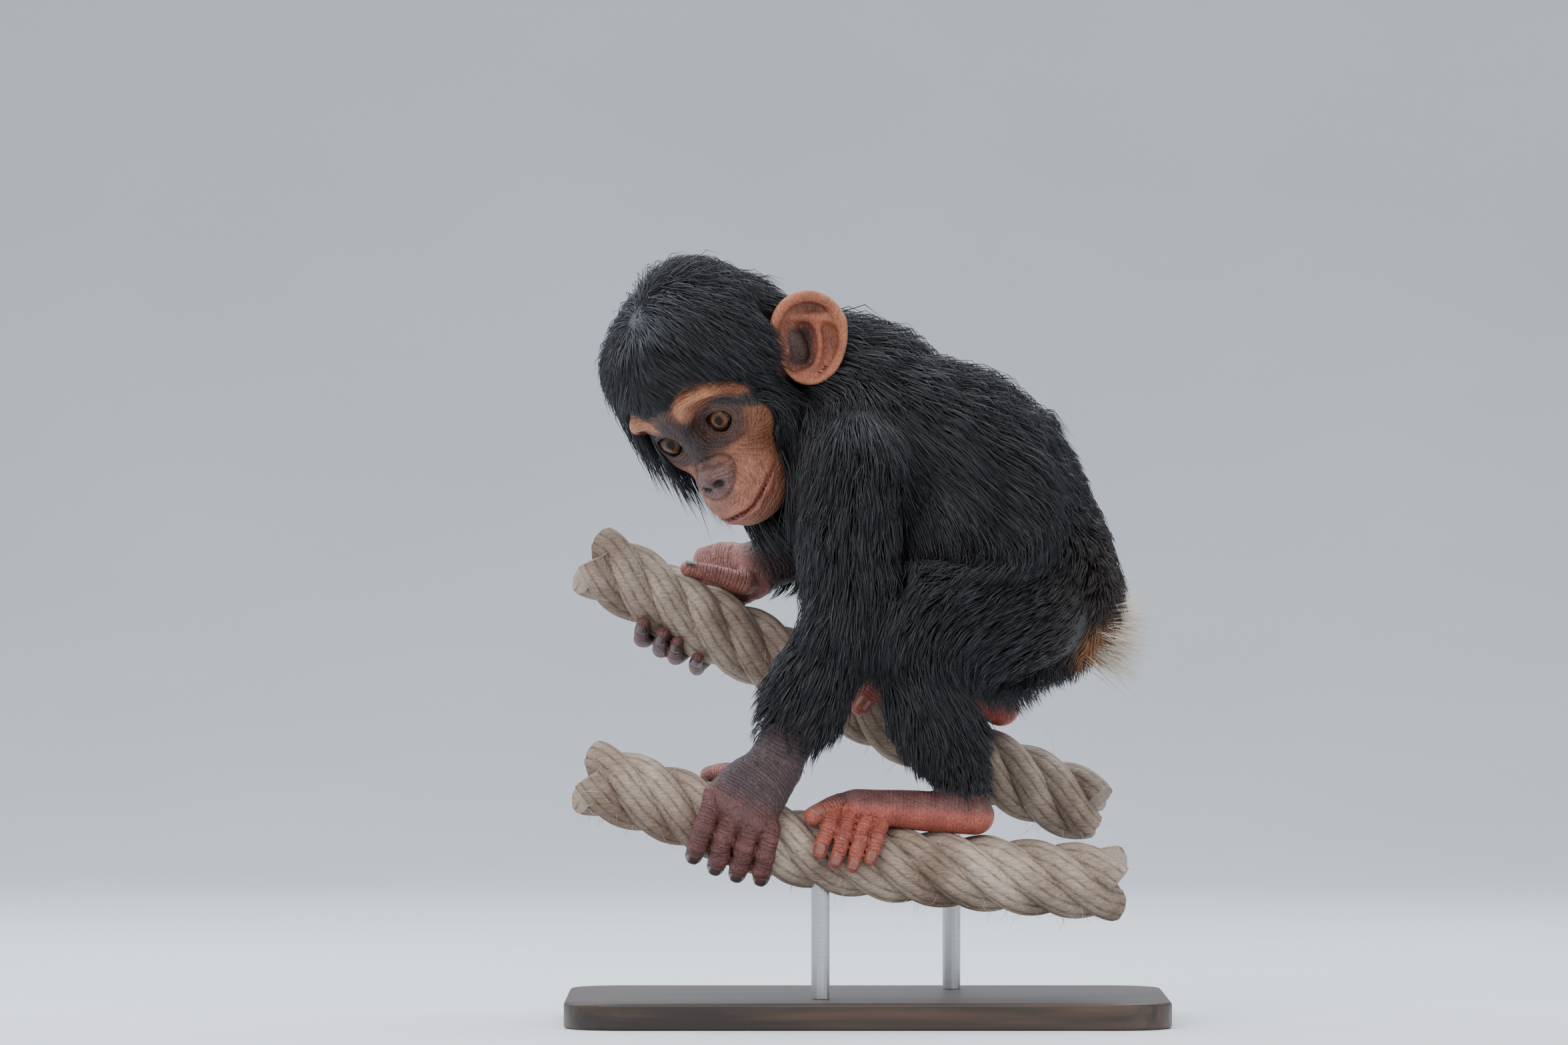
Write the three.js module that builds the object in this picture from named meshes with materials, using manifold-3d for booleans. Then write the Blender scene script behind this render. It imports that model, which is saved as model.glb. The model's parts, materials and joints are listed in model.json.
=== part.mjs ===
// A young chimpanzee, life size, crouched on two thick ropes over a flat display stand.
//
// Millimetres, +Z up. The animal faces -X and its left side is towards -Y. Its head is turned
// to its left and bowed. The origin is the centre of the underside of the stand.
// Every shape is a sphere's grid of points laid on a surface that a function describes, and
// manifold-3d joins the shapes and cuts each clear of its neighbours.

import * as THREE from "three";
import { mergeVertices } from "three/addons/utils/BufferGeometryUtils.js";
import Module from "manifold-3d";

const wasm = await Module();
wasm.setup();

const vec = (x, y, z) => new THREE.Vector3(x, y, z);

// Driving dimensions
const GAP = 0.3;
const LEFT = -1;
const RIGHT = 1;

const ROPE = { radius: 22, strands: 4, lay: 108, valley: 0.82, steps: 34 };
const NEAR_ROPE = [
  vec(-165, -60, 148),
  vec(-127, -60, 135),
  vec(-45, -60, 107),
  vec(21, -60, 95.4),
  vec(91, -60, 88.8),
  vec(150, -60, 84.5),
];
const FAR_ROPE = [
  vec(-165, 70, 276),
  vec(-120, 70, 251),
  vec(-60, 70, 219),
  vec(0, 70, 188),
  vec(50, 70, 162),
  vec(105, 70, 138),
  vec(140, 70, 124),
];

const BASE = { length: 360, width: 240, thickness: 16, corner: 34 };
const ROD = { radius: 5.5, nearX: -28, farX: 52, sides: 16 };

// Depth of the coat beyond the skin on each part of the body
const COAT = {
  head: 13, neck: 13, torso: 20, upperArm: 11, forearm: 8, thigh: 14, shin: 12,
};

// The head's own frame: its centre is the middle of the braincase
const HEAD = {
  centre: vec(-101, -22, 394),
  left: vec(0.667, -0.667, 0.333).normalize(),
  front: vec(-0.357, -0.678, -0.643).normalize(),
  columns: 26,
  rings: 18,
};
HEAD.left.addScaledVector(HEAD.front, -HEAD.left.dot(HEAD.front)).normalize();
HEAD.up = HEAD.left.clone().cross(HEAD.front).negate();

const EYE = { aside: 21.5, front: 36.5, down: 20.5, radius: 9.8 };
const EAR = {
  centre: vec(61, -22, -26.5), root: vec(33, -8, -20),
  halfWidth: 22, halfHeight: 27.5, depth: 8.5, columns: 12, rings: 6,
};

// Landmarks of the limbs, [left, right]
const SHOULDER = { [LEFT]: vec(-6, -44, 346), [RIGHT]: vec(-10, 44, 348) };
const ELBOW = { [LEFT]: vec(-12, -66, 242), [RIGHT]: vec(2, 104, 300) };
const WRIST = { [LEFT]: vec(-53, -66, 160), [RIGHT]: vec(-64, 78, 273) };
const HIP = { [LEFT]: vec(104, -30, 250), [RIGHT]: vec(104, 30, 252) };
const KNEE = { [LEFT]: vec(20, -62, 238), [RIGHT]: vec(16, 70, 276) };
const ANKLE = { [LEFT]: vec(56, -60, 141), [RIGHT]: vec(73, 70, 206) };

// A closed surface laid over a sphere's grid: place(down, around) gives each point, with down
// from 0 to 1 between the poles and around in radians
function surface(columns, rows, place) {
  const grid = new THREE.SphereGeometry(1, columns, rows);
  const points = grid.attributes.position;
  const { uv } = grid.attributes;
  for (let i = 0; i < points.count; i += 1) {
    const column = i % (columns + 1);
    const around = column === columns ? 0 : (2 * Math.PI * column) / columns;
    const p = place(1 - uv.getY(i), around);
    points.setXYZ(i, p.x, p.y, p.z);
  }
  return solidOf(grid);
}

// A three.js geometry as a manifold-3d solid with its faces pointing out
function solidOf(geometry) {
  const bare = geometry.clone();
  bare.deleteAttribute("normal");
  bare.deleteAttribute("uv");
  const merged = mergeVertices(bare, 1e-3);
  const vertProperties = new Float32Array(merged.attributes.position.array);
  const corners = [];
  const { array } = merged.index;
  for (let i = 0; i < array.length; i += 3) {
    const [a, b, c] = [array[i], array[i + 1], array[i + 2]];
    if (a !== b && b !== c && c !== a) corners.push(a, b, c);
  }
  const build = (order) => {
    const mesh = new wasm.Mesh({ numProp: 3, vertProperties, triVerts: Uint32Array.from(order) });
    return new wasm.Manifold(mesh);
  };
  const made = build(corners);
  if (made.volume() > 0) return made;
  return build(corners.reverse());
}

const join = (solids) => solids.reduce((all, one) => all.add(one));
const cut = (solid, cutters) => cutters.reduce((rest, one) => rest.subtract(one), solid);

function touches(a, b) {
  const [p, q] = [a.boundingBox(), b.boundingBox()];
  return [0, 1, 2].every((i) => p.min[i] <= q.max[i] && q.min[i] <= p.max[i]);
}

// The largest closed body of a solid, without its loose scraps
function largest(solid) {
  return solid.decompose().reduce((best, one) => (one.volume() > best.volume() ? one : best));
}

// A lump: an ellipsoid with its own axes
function lump({ centre, axes, radii, columns = 16, rows = 10 }) {
  return surface(columns, rows, (down, around) => {
    const tilt = down * Math.PI;
    return centre.clone()
      .addScaledVector(axes[0], radii[0] * Math.sin(tilt) * Math.cos(around))
      .addScaledVector(axes[1], radii[1] * Math.sin(tilt) * Math.sin(around))
      .addScaledVector(axes[2], radii[2] * Math.cos(tilt));
  });
}

// A tube with round ends along a curve. radii holds a [side, back] pair for each point, and
// side is the direction that the first of each pair is measured along
function tube({ points, radii, side, columns = 14, steps = 7 }) {
  const path = new THREE.CatmullRomCurve3(points);
  const sizes = new THREE.CatmullRomCurve3(radii.map(([a, b]) => vec(a, b, 0)));
  function frameAt(t) {
    const inside = THREE.MathUtils.clamp(t, 0, 1);
    const along = path.getTangent(inside);
    const across = side.clone().addScaledVector(along, -side.dot(along)).normalize();
    const size = sizes.getPoint(inside);
    return { centre: path.getPoint(inside), along, across, back: along.clone().cross(across), size };
  }

  // The point on the surface at t along the tube and around it, raised by grow
  function at(t, around, grow = 0, bulge = 0) {
    const f = frameAt(t);
    const shrink = Math.cos(bulge);
    const capLength = Math.min(f.size.x, f.size.y) + grow;
    return f.centre
      .addScaledVector(f.across, (f.size.x + grow) * shrink * Math.cos(around))
      .addScaledVector(f.back, (f.size.y + grow) * shrink * Math.sin(around))
      .addScaledVector(f.along, capLength * Math.sin(bulge));
  }

  function build(grow = 0, capRows = 2) {
    const rows = steps + 2 * capRows;
    return surface(columns, rows, (down, around) => {
      const row = Math.round(down * rows);
      const early = Math.max(0, capRows - row) / capRows;
      const late = Math.max(0, row - capRows - steps) / capRows;
      const bulge = (late - early) * (Math.PI / 2);
      return at((row - capRows) / steps, around, grow, bulge);
    });
  }
  return { at, build, frameAt, path };
}

// The ropes

function ropeSolid(points, grow = 0) {
  const path = new THREE.CatmullRomCurve3(points);
  const length = path.getLength();
  const across = vec(0, 1, 0);
  const sides = 2 * ROPE.strands;
  const rows = ROPE.steps + 2;
  return surface(sides, rows, (down, around) => {
    const row = Math.round(down * rows);
    const t = THREE.MathUtils.clamp((row - 1) / ROPE.steps, 0, 1);
    const along = path.getTangentAt(t);
    const centre = path.getPointAt(t);
    if (t === 0) centre.addScaledVector(along, -grow);
    if (t === 1) centre.addScaledVector(along, grow);
    if (row === 0 || row === rows) return centre;
    const isCrest = Math.round((around * sides) / (2 * Math.PI)) % 2 === 0;
    const radius = ROPE.radius * (isCrest ? 1 : ROPE.valley) + grow;
    const angle = around - (2 * Math.PI * length * t) / ROPE.lay;
    const up = across.clone().cross(along).negate();
    return centre
      .addScaledVector(across, radius * Math.cos(angle))
      .addScaledVector(up, radius * Math.sin(angle));
  });
}

// A point beside a rope: turn is measured round the rope from its -Y side, up over the top
function besideRope(points, x, turn, distance) {
  const path = new THREE.CatmullRomCurve3(points);
  let t = 0.5;
  for (let step = 0.25; step > 1e-4; step /= 2) t += path.getPoint(t).x < x ? step : -step;
  const centre = path.getPoint(t);
  const along = path.getTangent(t);
  const up = vec(0, 1, 0).cross(along).negate();
  const angle = THREE.MathUtils.degToRad(turn);
  return centre.add(vec(0, -distance * Math.cos(angle), 0))
    .addScaledVector(up, distance * Math.sin(angle));
}

// The head

// Where a point lies in the head's own frame: [aside, front, up], aside without its sign
const headPoint = (aside, front, up) =>
  HEAD.centre.clone()
    .addScaledVector(HEAD.left, aside)
    .addScaledVector(HEAD.front, front)
    .addScaledVector(HEAD.up, up);

const ellipsoid = (p, centre, radii) => {
  const q = [p[0] - centre[0], p[1] - centre[1], p[2] - centre[2]];
  const scaled = Math.hypot(q[0] / radii[0], q[1] / radii[1], q[2] / radii[2]);
  return (scaled - 1) * Math.min(...radii);
};
const blend = (a, b, width) => {
  const h = Math.max(width - Math.abs(a - b), 0) / width;
  return Math.min(a, b) - (h * h * width) / 4;
};

// Distance from the skin of the head, below zero inside. aside is mirrored
function headField(aside, front, up) {
  const p = [Math.abs(aside), front, up];
  let d = ellipsoid(p, [0, 0, 0], [46, 56, 50]);
  d = blend(d, ellipsoid(p, [0, 20, -32], [35, 30, 32]), 12);
  d = blend(d, ellipsoid(p, [25, 24, -30], [16, 18, 20]), 10);
  d = blend(d, ellipsoid(p, [0, 37, -59], [28, 27, 24]), 9);
  d = blend(d, ellipsoid(p, [0, 36, -72], [22, 26, 15]), 7);
  d = blend(d, ellipsoid(p, [20, 44, -7], [15, 7.5, 5]), 6);
  d = blend(d, ellipsoid(p, [0, 49, -28], [6, 6, 14]), 6);
  d = blend(d, ellipsoid(p, [0, 58, -44], [10, 6.5, 7.5]), 5);
  const socket = ellipsoid(p, [EYE.aside, 48, -EYE.down], [14, 7, 9.5]);
  return -blend(-d, socket, 5);
}

// How much of the coat's depth a direction carries: none on the face, all on the scalp
function hairShare(direction) {
  const aside = direction.dot(HEAD.left);
  const front = direction.dot(HEAD.front);
  const up = direction.dot(HEAD.up);
  const face = Math.hypot(aside / 0.66, (up + 0.62) / 0.6);
  const softness = 0.16 + 0.4 * THREE.MathUtils.smoothstep(up, -0.4, 0.25);
  const scalp = THREE.MathUtils.smoothstep(face, 1.04, 1.04 + softness);
  return Math.max(scalp, THREE.MathUtils.smoothstep(0.3 - front, 0, 0.35));
}

// The distance from the head's centre to its surface along a direction
function headReach(direction, grow) {
  const local = [direction.dot(HEAD.left), direction.dot(HEAD.front), direction.dot(HEAD.up)];
  let reach = 125;
  for (let i = 0; i < 60; i += 1) {
    const d = headField(local[0] * reach, local[1] * reach, local[2] * reach) - grow;
    if (d < 0.02) break;
    reach -= d * 0.8;
  }
  return reach;
}

// A direction from the head's centre: polar is measured from the face, turn round that axis
function faceDirection(polar, turn) {
  return HEAD.front.clone().multiplyScalar(Math.cos(polar))
    .addScaledVector(HEAD.left, Math.sin(polar) * Math.cos(turn))
    .addScaledVector(HEAD.up, Math.sin(polar) * Math.sin(turn));
}

// The same from the crown, where the hair has its whorl
function crownDirection(polar, turn) {
  return HEAD.up.clone().multiplyScalar(Math.cos(polar))
    .addScaledVector(HEAD.front, Math.sin(polar) * Math.cos(turn))
    .addScaledVector(HEAD.left, Math.sin(polar) * Math.sin(turn));
}

function headCore(coat, grow = 0) {
  return surface(HEAD.columns, HEAD.rings, (down, around) => {
    const direction = faceDirection(Math.PI * down ** 1.35, around);
    const reach = headReach(direction, grow + coat * hairShare(direction));
    return HEAD.centre.clone().addScaledVector(direction, reach);
  });
}

const headAxes = (side) => [HEAD.left.clone().multiplyScalar(-side), HEAD.front, HEAD.up];
const eyeCentre = (side) => headPoint(-side * EYE.aside, EYE.front, -EYE.down);

function eyeball(side, grow) {
  const radius = EYE.radius + grow;
  return lump({
    centre: eyeCentre(side), axes: headAxes(side), radii: [radius, radius, radius],
    columns: 12, rows: 8,
  });
}

// The lids: a slightly larger ball with an almond-shaped opening through its front
function lids(side) {
  const rim = 1.7;
  return lump({
    centre: eyeCentre(side), axes: headAxes(side),
    radii: [EYE.radius + rim, EYE.radius + rim, EYE.radius + rim], columns: 12, rows: 8,
  });
}
function lidOpening(side) {
  return lump({
    centre: headPoint(-side * (EYE.aside + 0.5), EYE.front + 10, -EYE.down),
    axes: headAxes(side), radii: [8.6, 9, 5.6], columns: 10, rows: 7,
  });
}

function nostril(side) {
  return lump({
    centre: headPoint(-side * 4.6, 63.5, -47.5),
    axes: [
      HEAD.left.clone().multiplyScalar(-side).addScaledVector(HEAD.up, 0.5).normalize(),
      HEAD.front,
      HEAD.up,
    ],
    radii: [3, 3, 1.9], columns: 8, rows: 6,
  });
}

// The line of the mouth: a thin bent cut between the lips, which stand out as two rolls
function mouthPath(up, out) {
  const halfWidth = 25;
  const corners = 9;
  const points = [];
  for (let i = 0; i < corners; i += 1) {
    const share = (2 * i) / (corners - 1) - 1;
    const aside = share * halfWidth;
    const height = -70 + 5 * share * share + up;
    let front = 75;
    while (headField(aside, front, height) > 0 && front > 20) front -= 0.5;
    points.push(headPoint(aside, front + out, height));
  }
  return points;
}
const mouthRoll = (up, out, thick) =>
  tube({
    points: mouthPath(up, out), side: HEAD.up, columns: 6, steps: 10,
    radii: mouthPath(up, out).map((p, i) => {
      const share = Math.abs(i / 4 - 1);
      return [thick * (1 - 0.55 * share), thick * (1 - 0.4 * share)];
    }),
  }).build();

// The ears

// A cupped ear: a tilted bowl with a rolled rim, an inner fold and the lump before its canal
function ear(side, grow) {
  const mirror = (v) => vec(-side * v.x, v.y, v.z);
  const local = (v) => {
    const m = mirror(v);
    return headPoint(m.x, m.y, m.z);
  };
  const turnOut = (v) => {
    const m = mirror(v);
    return HEAD.left.clone().multiplyScalar(m.x)
      .addScaledVector(HEAD.front, m.y).addScaledVector(HEAD.up, m.z).normalize();
  };
  const face = turnOut(vec(0.70, 0.66, 0.28));
  const tall = turnOut(vec(0.30, -0.62, 0.72));
  tall.addScaledVector(face, -tall.dot(face)).normalize();
  const wide = face.clone().cross(tall).multiplyScalar(side);
  const centre = local(EAR.centre);
  const axes = [wide, tall, face];
  const place = (a, b, c) =>
    centre.clone().addScaledVector(wide, a).addScaledVector(tall, b).addScaledVector(face, c);
  const shell = lump({
    centre, axes, radii: [EAR.halfWidth + grow, EAR.halfHeight + grow, EAR.depth + grow],
    columns: EAR.columns, rows: EAR.rings,
  });
  const bowl = lump({
    centre: place(0.5, 1, 6.5), axes, radii: [EAR.halfWidth - 3.2, EAR.halfHeight - 3.4, EAR.depth],
    columns: EAR.columns, rows: EAR.rings,
  });
  const fold = tube({
    points: [place(3, 16, 1), place(11, 6, 1.5), place(10, -9, 1), place(3, -19, 2)],
    radii: [[2, 2], [2.4, 2.4], [2.4, 2.4], [2, 2]], side: face, columns: 6, steps: 4,
  }).build(grow);
  const tragus = lump({
    centre: place(-14, -9, 2), axes, radii: [4 + grow, 6 + grow, 4.5 + grow], columns: 6, rows: 5,
  });
  const stem = tube({
    points: [place(-8, -4, -4), local(EAR.root)],
    radii: [[13, 8], [16, 10]], side: tall, columns: 8, steps: 2,
  }).build(grow);
  const cup = grow > 0 ? shell : shell.subtract(bowl);
  return join([cup, fold, tragus, stem]);
}

// The trunk and the limbs, each a tube. Radii are those of the skin
const ACROSS = vec(0, 1, 0);

const torso = tube({
  points: [
    vec(-34, 4, 364), vec(-8, 0, 350), vec(30, 0, 332), vec(69, 0, 305), vec(94, 0, 274), vec(103, 0, 256),
  ],
  radii: [[34, 40], [48, 50], [53, 53], [53, 52], [49, 46], [44, 40]],
  side: ACROSS, columns: 16, steps: 7,
});
const neck = tube({
  points: [vec(-80, 0, 390), vec(-54, 1, 383), vec(-26, 3, 371)],
  radii: [[27, 33], [28, 35], [34, 40]], side: ACROSS, columns: 14, steps: 3,
});

const limbs = (make) => ({ [LEFT]: make(LEFT), [RIGHT]: make(RIGHT) });
const between = (a, b, share) => a.clone().lerp(b, share);

const upperArm = limbs((side) => tube({
  points: [SHOULDER[side], between(SHOULDER[side], ELBOW[side], 0.5), ELBOW[side]],
  radii: [[24, 27], [20, 22], [17, 18]], side: ACROSS, columns: 12, steps: 4,
}));
const forearm = limbs((side) => tube({
  points: [ELBOW[side], between(ELBOW[side], WRIST[side], 0.4), WRIST[side]],
  radii: [[17, 18], [17, 18.5], [13, 16]], side: ACROSS, columns: 12, steps: 4,
}));
const thigh = limbs((side) => tube({
  points: [HIP[side], between(HIP[side], KNEE[side], 0.5), KNEE[side]],
  radii: [[28, 34], [24, 28], [18, 19]], side: ACROSS, columns: 12, steps: 4,
}));
const shin = limbs((side) => tube({
  points: [KNEE[side], between(KNEE[side], ANKLE[side], 0.4), ANKLE[side]],
  radii: [[17, 18], [17, 20], [11.5, 13]], side: ACROSS, columns: 12, steps: 4,
}));

// The coat

// The coat's core reaches this share of the way from the skin to the tips
const CORE_SHARE = 0.45;
// The most that a lock stands out of the flat facets of the form it lies on
const FACET = 1.3;

// A form's surface carried on past its ends: reach is measured from t = 0 in lengths of the form
function onForm(form, reach, around, height) {
  const inside = THREE.MathUtils.clamp(reach, 0, 1);
  const cap = (Math.PI / 2) * 0.97;
  const past = ((reach - inside) * form.path.getLength()) / form.frameAt(inside).size.x;
  return form.at(inside, around, height, THREE.MathUtils.clamp(past, -cap, cap));
}

// A flat tapered lock: its root is sunk in the core, it rises and then lies back along the coat.
// heading turns it from the form's length towards increasing angle, in radians
const LOCK_STATIONS = [
  { run: 0, rise: -0.25, width: 0, thick: 0 },
  { run: 0.1, rise: 0.02, width: 0.8, thick: 6 },
  { run: 0.5, rise: 0.74, width: 1, thick: 6 },
  { run: 0.82, rise: 0.88, width: 0.6, thick: 3.4 },
  { run: 1, rise: 1, width: 0, thick: 0 },
];
function lock(at, { start, around, length, width, heading, perReach, perTurn, core, tips }) {
  const rows = LOCK_STATIONS.length - 1;
  // Three-sided, with a low ridge outwards
  return surface(3, rows, (down, around3) => {
    const turn = around3 - Math.PI / 6;
    const station = LOCK_STATIONS[Math.round(down * rows)];
    const aside = station.width * (width / 1.73) * Math.cos(turn);
    const rise = station.rise > 0 ? core + (tips - core) * station.rise : core + 12 * station.rise;
    const height = Math.min(tips, rise + (station.thick / 2) * Math.sin(turn));
    const forward = length * station.run;
    const along = forward * Math.cos(heading) - aside * Math.sin(heading);
    const sideways = forward * Math.sin(heading) + aside * Math.cos(heading);
    return at(start + along / perReach, around + sideways / perTurn, height);
  });
}

// Random numbers from 0 to 1, the same on each run
function randomFrom(seed) {
  let state = seed;
  return () => {
    state = (state * 16807) % 2147483647;
    return state / 2147483647;
  };
}

// Rows of locks round a form, each row half a lock round from the one before
function locksOn(form, depth, { rows, columns, length, width, seed, first, last }) {
  const random = randomFrom(seed);
  const made = [];
  for (let row = 0; row < rows; row += 1) {
    for (let column = 0; column < columns; column += 1) {
      const start = first + ((last - first) * (row + 0.3 * (random() - 0.5))) / Math.max(1, rows - 1);
      const around = (2 * Math.PI * (column + 0.5 * (row % 2) + 0.3 * (random() - 0.5))) / columns;
      const girth = form.frameAt(THREE.MathUtils.clamp(start, 0, 1)).size;
      made.push(lock((t, turn, height) => onForm(form, t, turn, height), {
        start, around,
        length: length * (0.85 + 0.3 * random()),
        width: width * (0.9 + 0.2 * random()),
        heading: 0.3 * (random() - 0.5),
        perReach: form.path.getLength(),
        perTurn: (girth.x + girth.y) / 2 + depth * 0.7,
        core: depth * CORE_SHARE,
        tips: depth - 1.2,
      }));
    }
  }
  return join(made);
}

// Hands

const GRIP = ROPE.radius + 1;

// A hand's parts: the palm on the rope, four fingers that wrap round it, and the thumb
const HAND = {
  [LEFT]: {
    rope: NEAR_ROPE,
    palm: [vec(-54, -68, 154), vec(-66, -79, 143), vec(-77, -88, 129)],
    palmSide: vec(0.94, 0.1, -0.25),
    knuckles: [-95, -83, -71, -59.5],
    drift: [0, 1, 2, 3],
    turns: [[22, -68], [20, -76], [16, -76], [10, -68]],
    thumb: [vec(-66, -68, 148), vec(-84, -58, 151), vec(-95, -47, 149)],
  },
  [RIGHT]: {
    rope: FAR_ROPE,
    palm: [vec(-68, 78, 268), vec(-82, 88, 267), vec(-94, 97, 262)],
    palmSide: vec(0.55, -0.35, -0.5),
    knuckles: [-112, -103, -94, -84],
    drift: [-14, -11, -11, -8],
    turns: [[152, 318], [152, 318], [152, 316], [150, 308]],
    thumb: [vec(-74, 66, 262), vec(-92, 62, 268), vec(-108, 60, 271.5)],
  },
};
const FINGER_NAMES = ["index", "middle", "ring", "little"];
const FINGER_RADIUS = { [LEFT]: [5.6, 5.8, 5.6, 5.2], [RIGHT]: [4.9, 5, 4.8, 4.5] };

const palm = limbs((side) => tube({
  points: HAND[side].palm, radii: [[16, 11], [21, 10], [23, 9]],
  side: HAND[side].palmSide.clone().normalize(), columns: 12, steps: 4,
}));
const fingers = limbs((side) => FINGER_NAMES.map((name, i) => {
  const { rope, knuckles, drift, turns } = HAND[side];
  const radius = FINGER_RADIUS[side][i];
  const stations = 6;
  const points = [];
  for (let j = 0; j <= stations; j += 1) {
    const share = j / stations;
    const turn = THREE.MathUtils.lerp(turns[i][0], turns[i][1], share);
    points.push(besideRope(rope, knuckles[i] + drift[i] * share, turn, GRIP + radius));
  }
  return tube({
    points, radii: points.map((p, j) => [radius * (1 - 0.03 * j), radius * (1 - 0.03 * j)]),
    side: vec(1, 0, 0), columns: 6, steps: 6,
  });
}));
const thumb = limbs((side) => tube({
  points: HAND[side].thumb, radii: [[7, 7], [5.6, 5.6], [4.8, 4.8]], side: ACROSS, columns: 6, steps: 4,
}));

// Feet

const FOOT = {
  [LEFT]: {
    rope: NEAR_ROPE,
    sole: [vec(64, -60, 125), vec(30, -60, 128), vec(-6, -62, 131)],
    toes: [-24, -14.1, -4.3, 5.2],
    drift: [-5, -4.6, -4.2, -3.8],
    turns: [[66, 2], [64, -6], [62, -8], [60, 4]],
    hallux: [[-6, 92, 10], [-22, 78, 9], [-37, 46, 6.5]],
  },
  [RIGHT]: {
    rope: FAR_ROPE,
    sole: [vec(82, 70, 187), vec(50, 70, 203), vec(16, 69, 219)],
    toes: [-19, -9.1, 0.7, 10.2],
    drift: [-5, -4.6, -4.2, -3.8],
    turns: [[120, 205], [118, 212], [118, 214], [116, 200]],
    hallux: [[14, 84, 9], [2, 45, 7], [-3, -4, 6]],
  },
};
const TOE_RADIUS = [4.8, 4.7, 4.6, 4.4];

const sole = limbs((side) => tube({
  points: FOOT[side].sole, radii: [[13.5, 11.5], [15, 12], [18, 9.5]],
  side: ACROSS, columns: 12, steps: 4,
}));
const toes = limbs((side) => TOE_RADIUS.map((radius, i) => {
  const { rope, toes: starts, drift, turns } = FOOT[side];
  const stations = 5;
  const points = [];
  for (let j = 0; j <= stations; j += 1) {
    const share = j / stations;
    const turn = THREE.MathUtils.lerp(turns[i][0], turns[i][1], share);
    points.push(besideRope(rope, starts[i] + drift[i] * share, turn, GRIP + radius));
  }
  return tube({
    points, radii: points.map(() => [radius, radius]), side: vec(1, 0, 0), columns: 6, steps: 5,
  });
}));
const hallux = limbs((side) => tube({
  points: FOOT[side].hallux.map(([x, turn, radius]) => besideRope(FOOT[side].rope, x, turn, GRIP + radius)),
  radii: [[7.5, 7.5], [6.5, 6.5], [5.6, 5.6]], side: ACROSS, columns: 6, steps: 4,
}));

// The white tuft that young chimpanzees have above the rump
const TUFT = { root: vec(134, 0, 236), length: 46, locks: 6, spread: 0.62, width: 4.6, thick: 2.6 };
function tuft(grow) {
  const random = randomFrom(61);
  const locks = [];
  for (let i = 0; i < TUFT.locks; i += 1) {
    const turn = (2 * Math.PI * i) / (TUFT.locks - 1);
    const lean = i === 0 ? 0 : TUFT.spread * (0.7 + 0.5 * random());
    const way = vec(1, 0, 0.05)
      .addScaledVector(vec(0, 1, 0), lean * Math.cos(turn))
      .addScaledVector(vec(0, 0, 1), 1.1 * lean * Math.sin(turn))
      .normalize();
    const length = TUFT.length * (0.75 + 0.25 * random());
    const droop = vec(0, 0, -0.1 * length * random());
    const along = (distance) => TUFT.root.clone().addScaledVector(way, distance);
    locks.push(tube({
      points: [along(5), along(length * 0.5), along(length).add(droop)],
      radii: [[TUFT.width, TUFT.thick], [TUFT.width * 0.8, TUFT.thick * 0.8], [0.5, 0.4]],
      side: vec(0, -Math.sin(turn), Math.cos(turn)), columns: 4, steps: 1,
    }).build(grow));
  }
  const root = lump({
    centre: TUFT.root, axes: [vec(1, 0, 0), vec(0, 1, 0), vec(0, 0, 1)],
    radii: [9 + grow, 7 + grow, 9 + grow], columns: 7, rows: 5,
  });
  return join([root, ...locks]);
}

// The stand

function standBase() {
  const { length, width, thickness, corner } = BASE;
  const outline = new THREE.Shape();
  const [x, y] = [length / 2, width / 2];
  outline.moveTo(-x + corner, -y);
  outline.lineTo(x - corner, -y);
  outline.absarc(x - corner, -y + corner, corner, -Math.PI / 2, 0);
  outline.absarc(x - corner, y - corner, corner, 0, Math.PI / 2);
  outline.absarc(-x + corner, y - corner, corner, Math.PI / 2, Math.PI);
  outline.absarc(-x + corner, -y + corner, corner, Math.PI, 1.5 * Math.PI);
  const slab = new THREE.ExtrudeGeometry(outline, {
    depth: thickness, bevelEnabled: false, curveSegments: 6,
  });
  return solidOf(slab);
}
function standRod(rope, x) {
  const centre = besideRope(rope, x, 0, 0);
  const low = BASE.thickness + GAP;
  const post = new THREE.CylinderGeometry(ROD.radius, ROD.radius, centre.z - low, ROD.sides);
  post.rotateX(Math.PI / 2);
  post.translate(centre.x, centre.y, (centre.z + low) / 2);
  return largest(solidOf(post).subtract(ropeSolid(rope, GAP)));
}

// The model

const paint = (color, roughness, metalness = 0) =>
  new THREE.MeshStandardMaterial({ color, roughness, metalness });
const PAINT = {
  coat: paint(0x17181c, 0.75),
  face: paint(0xa9714f, 0.6),
  ear: paint(0xc2805f, 0.6),
  hand: paint(0x5b454b, 0.65),
  sole: paint(0xb5604b, 0.6),
  eye: paint(0x4a2c18, 0.12),
  tuft: paint(0xe8dcc4, 0.8),
  rope: paint(0xb5a189, 0.95),
  base: paint(0x2c2a29, 0.5),
  rod: paint(0x8d8f92, 0.3, 1),
};

const group = new THREE.Group();
function add(name, solid, material) {
  const m = solid.getMesh();
  const positions = new Float32Array(m.numVert * 3);
  for (let i = 0; i < m.numVert; i += 1) {
    positions.set(m.vertProperties.subarray(i * m.numProp, i * m.numProp + 3), i * 3);
  }
  const geometry = new THREE.BufferGeometry()
    .setAttribute("position", new THREE.BufferAttribute(positions, 3))
    .setIndex(new THREE.BufferAttribute(m.triVerts, 1));
  const mesh = new THREE.Mesh(geometry, material);
  mesh.name = name;
  group.add(mesh);
}

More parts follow.
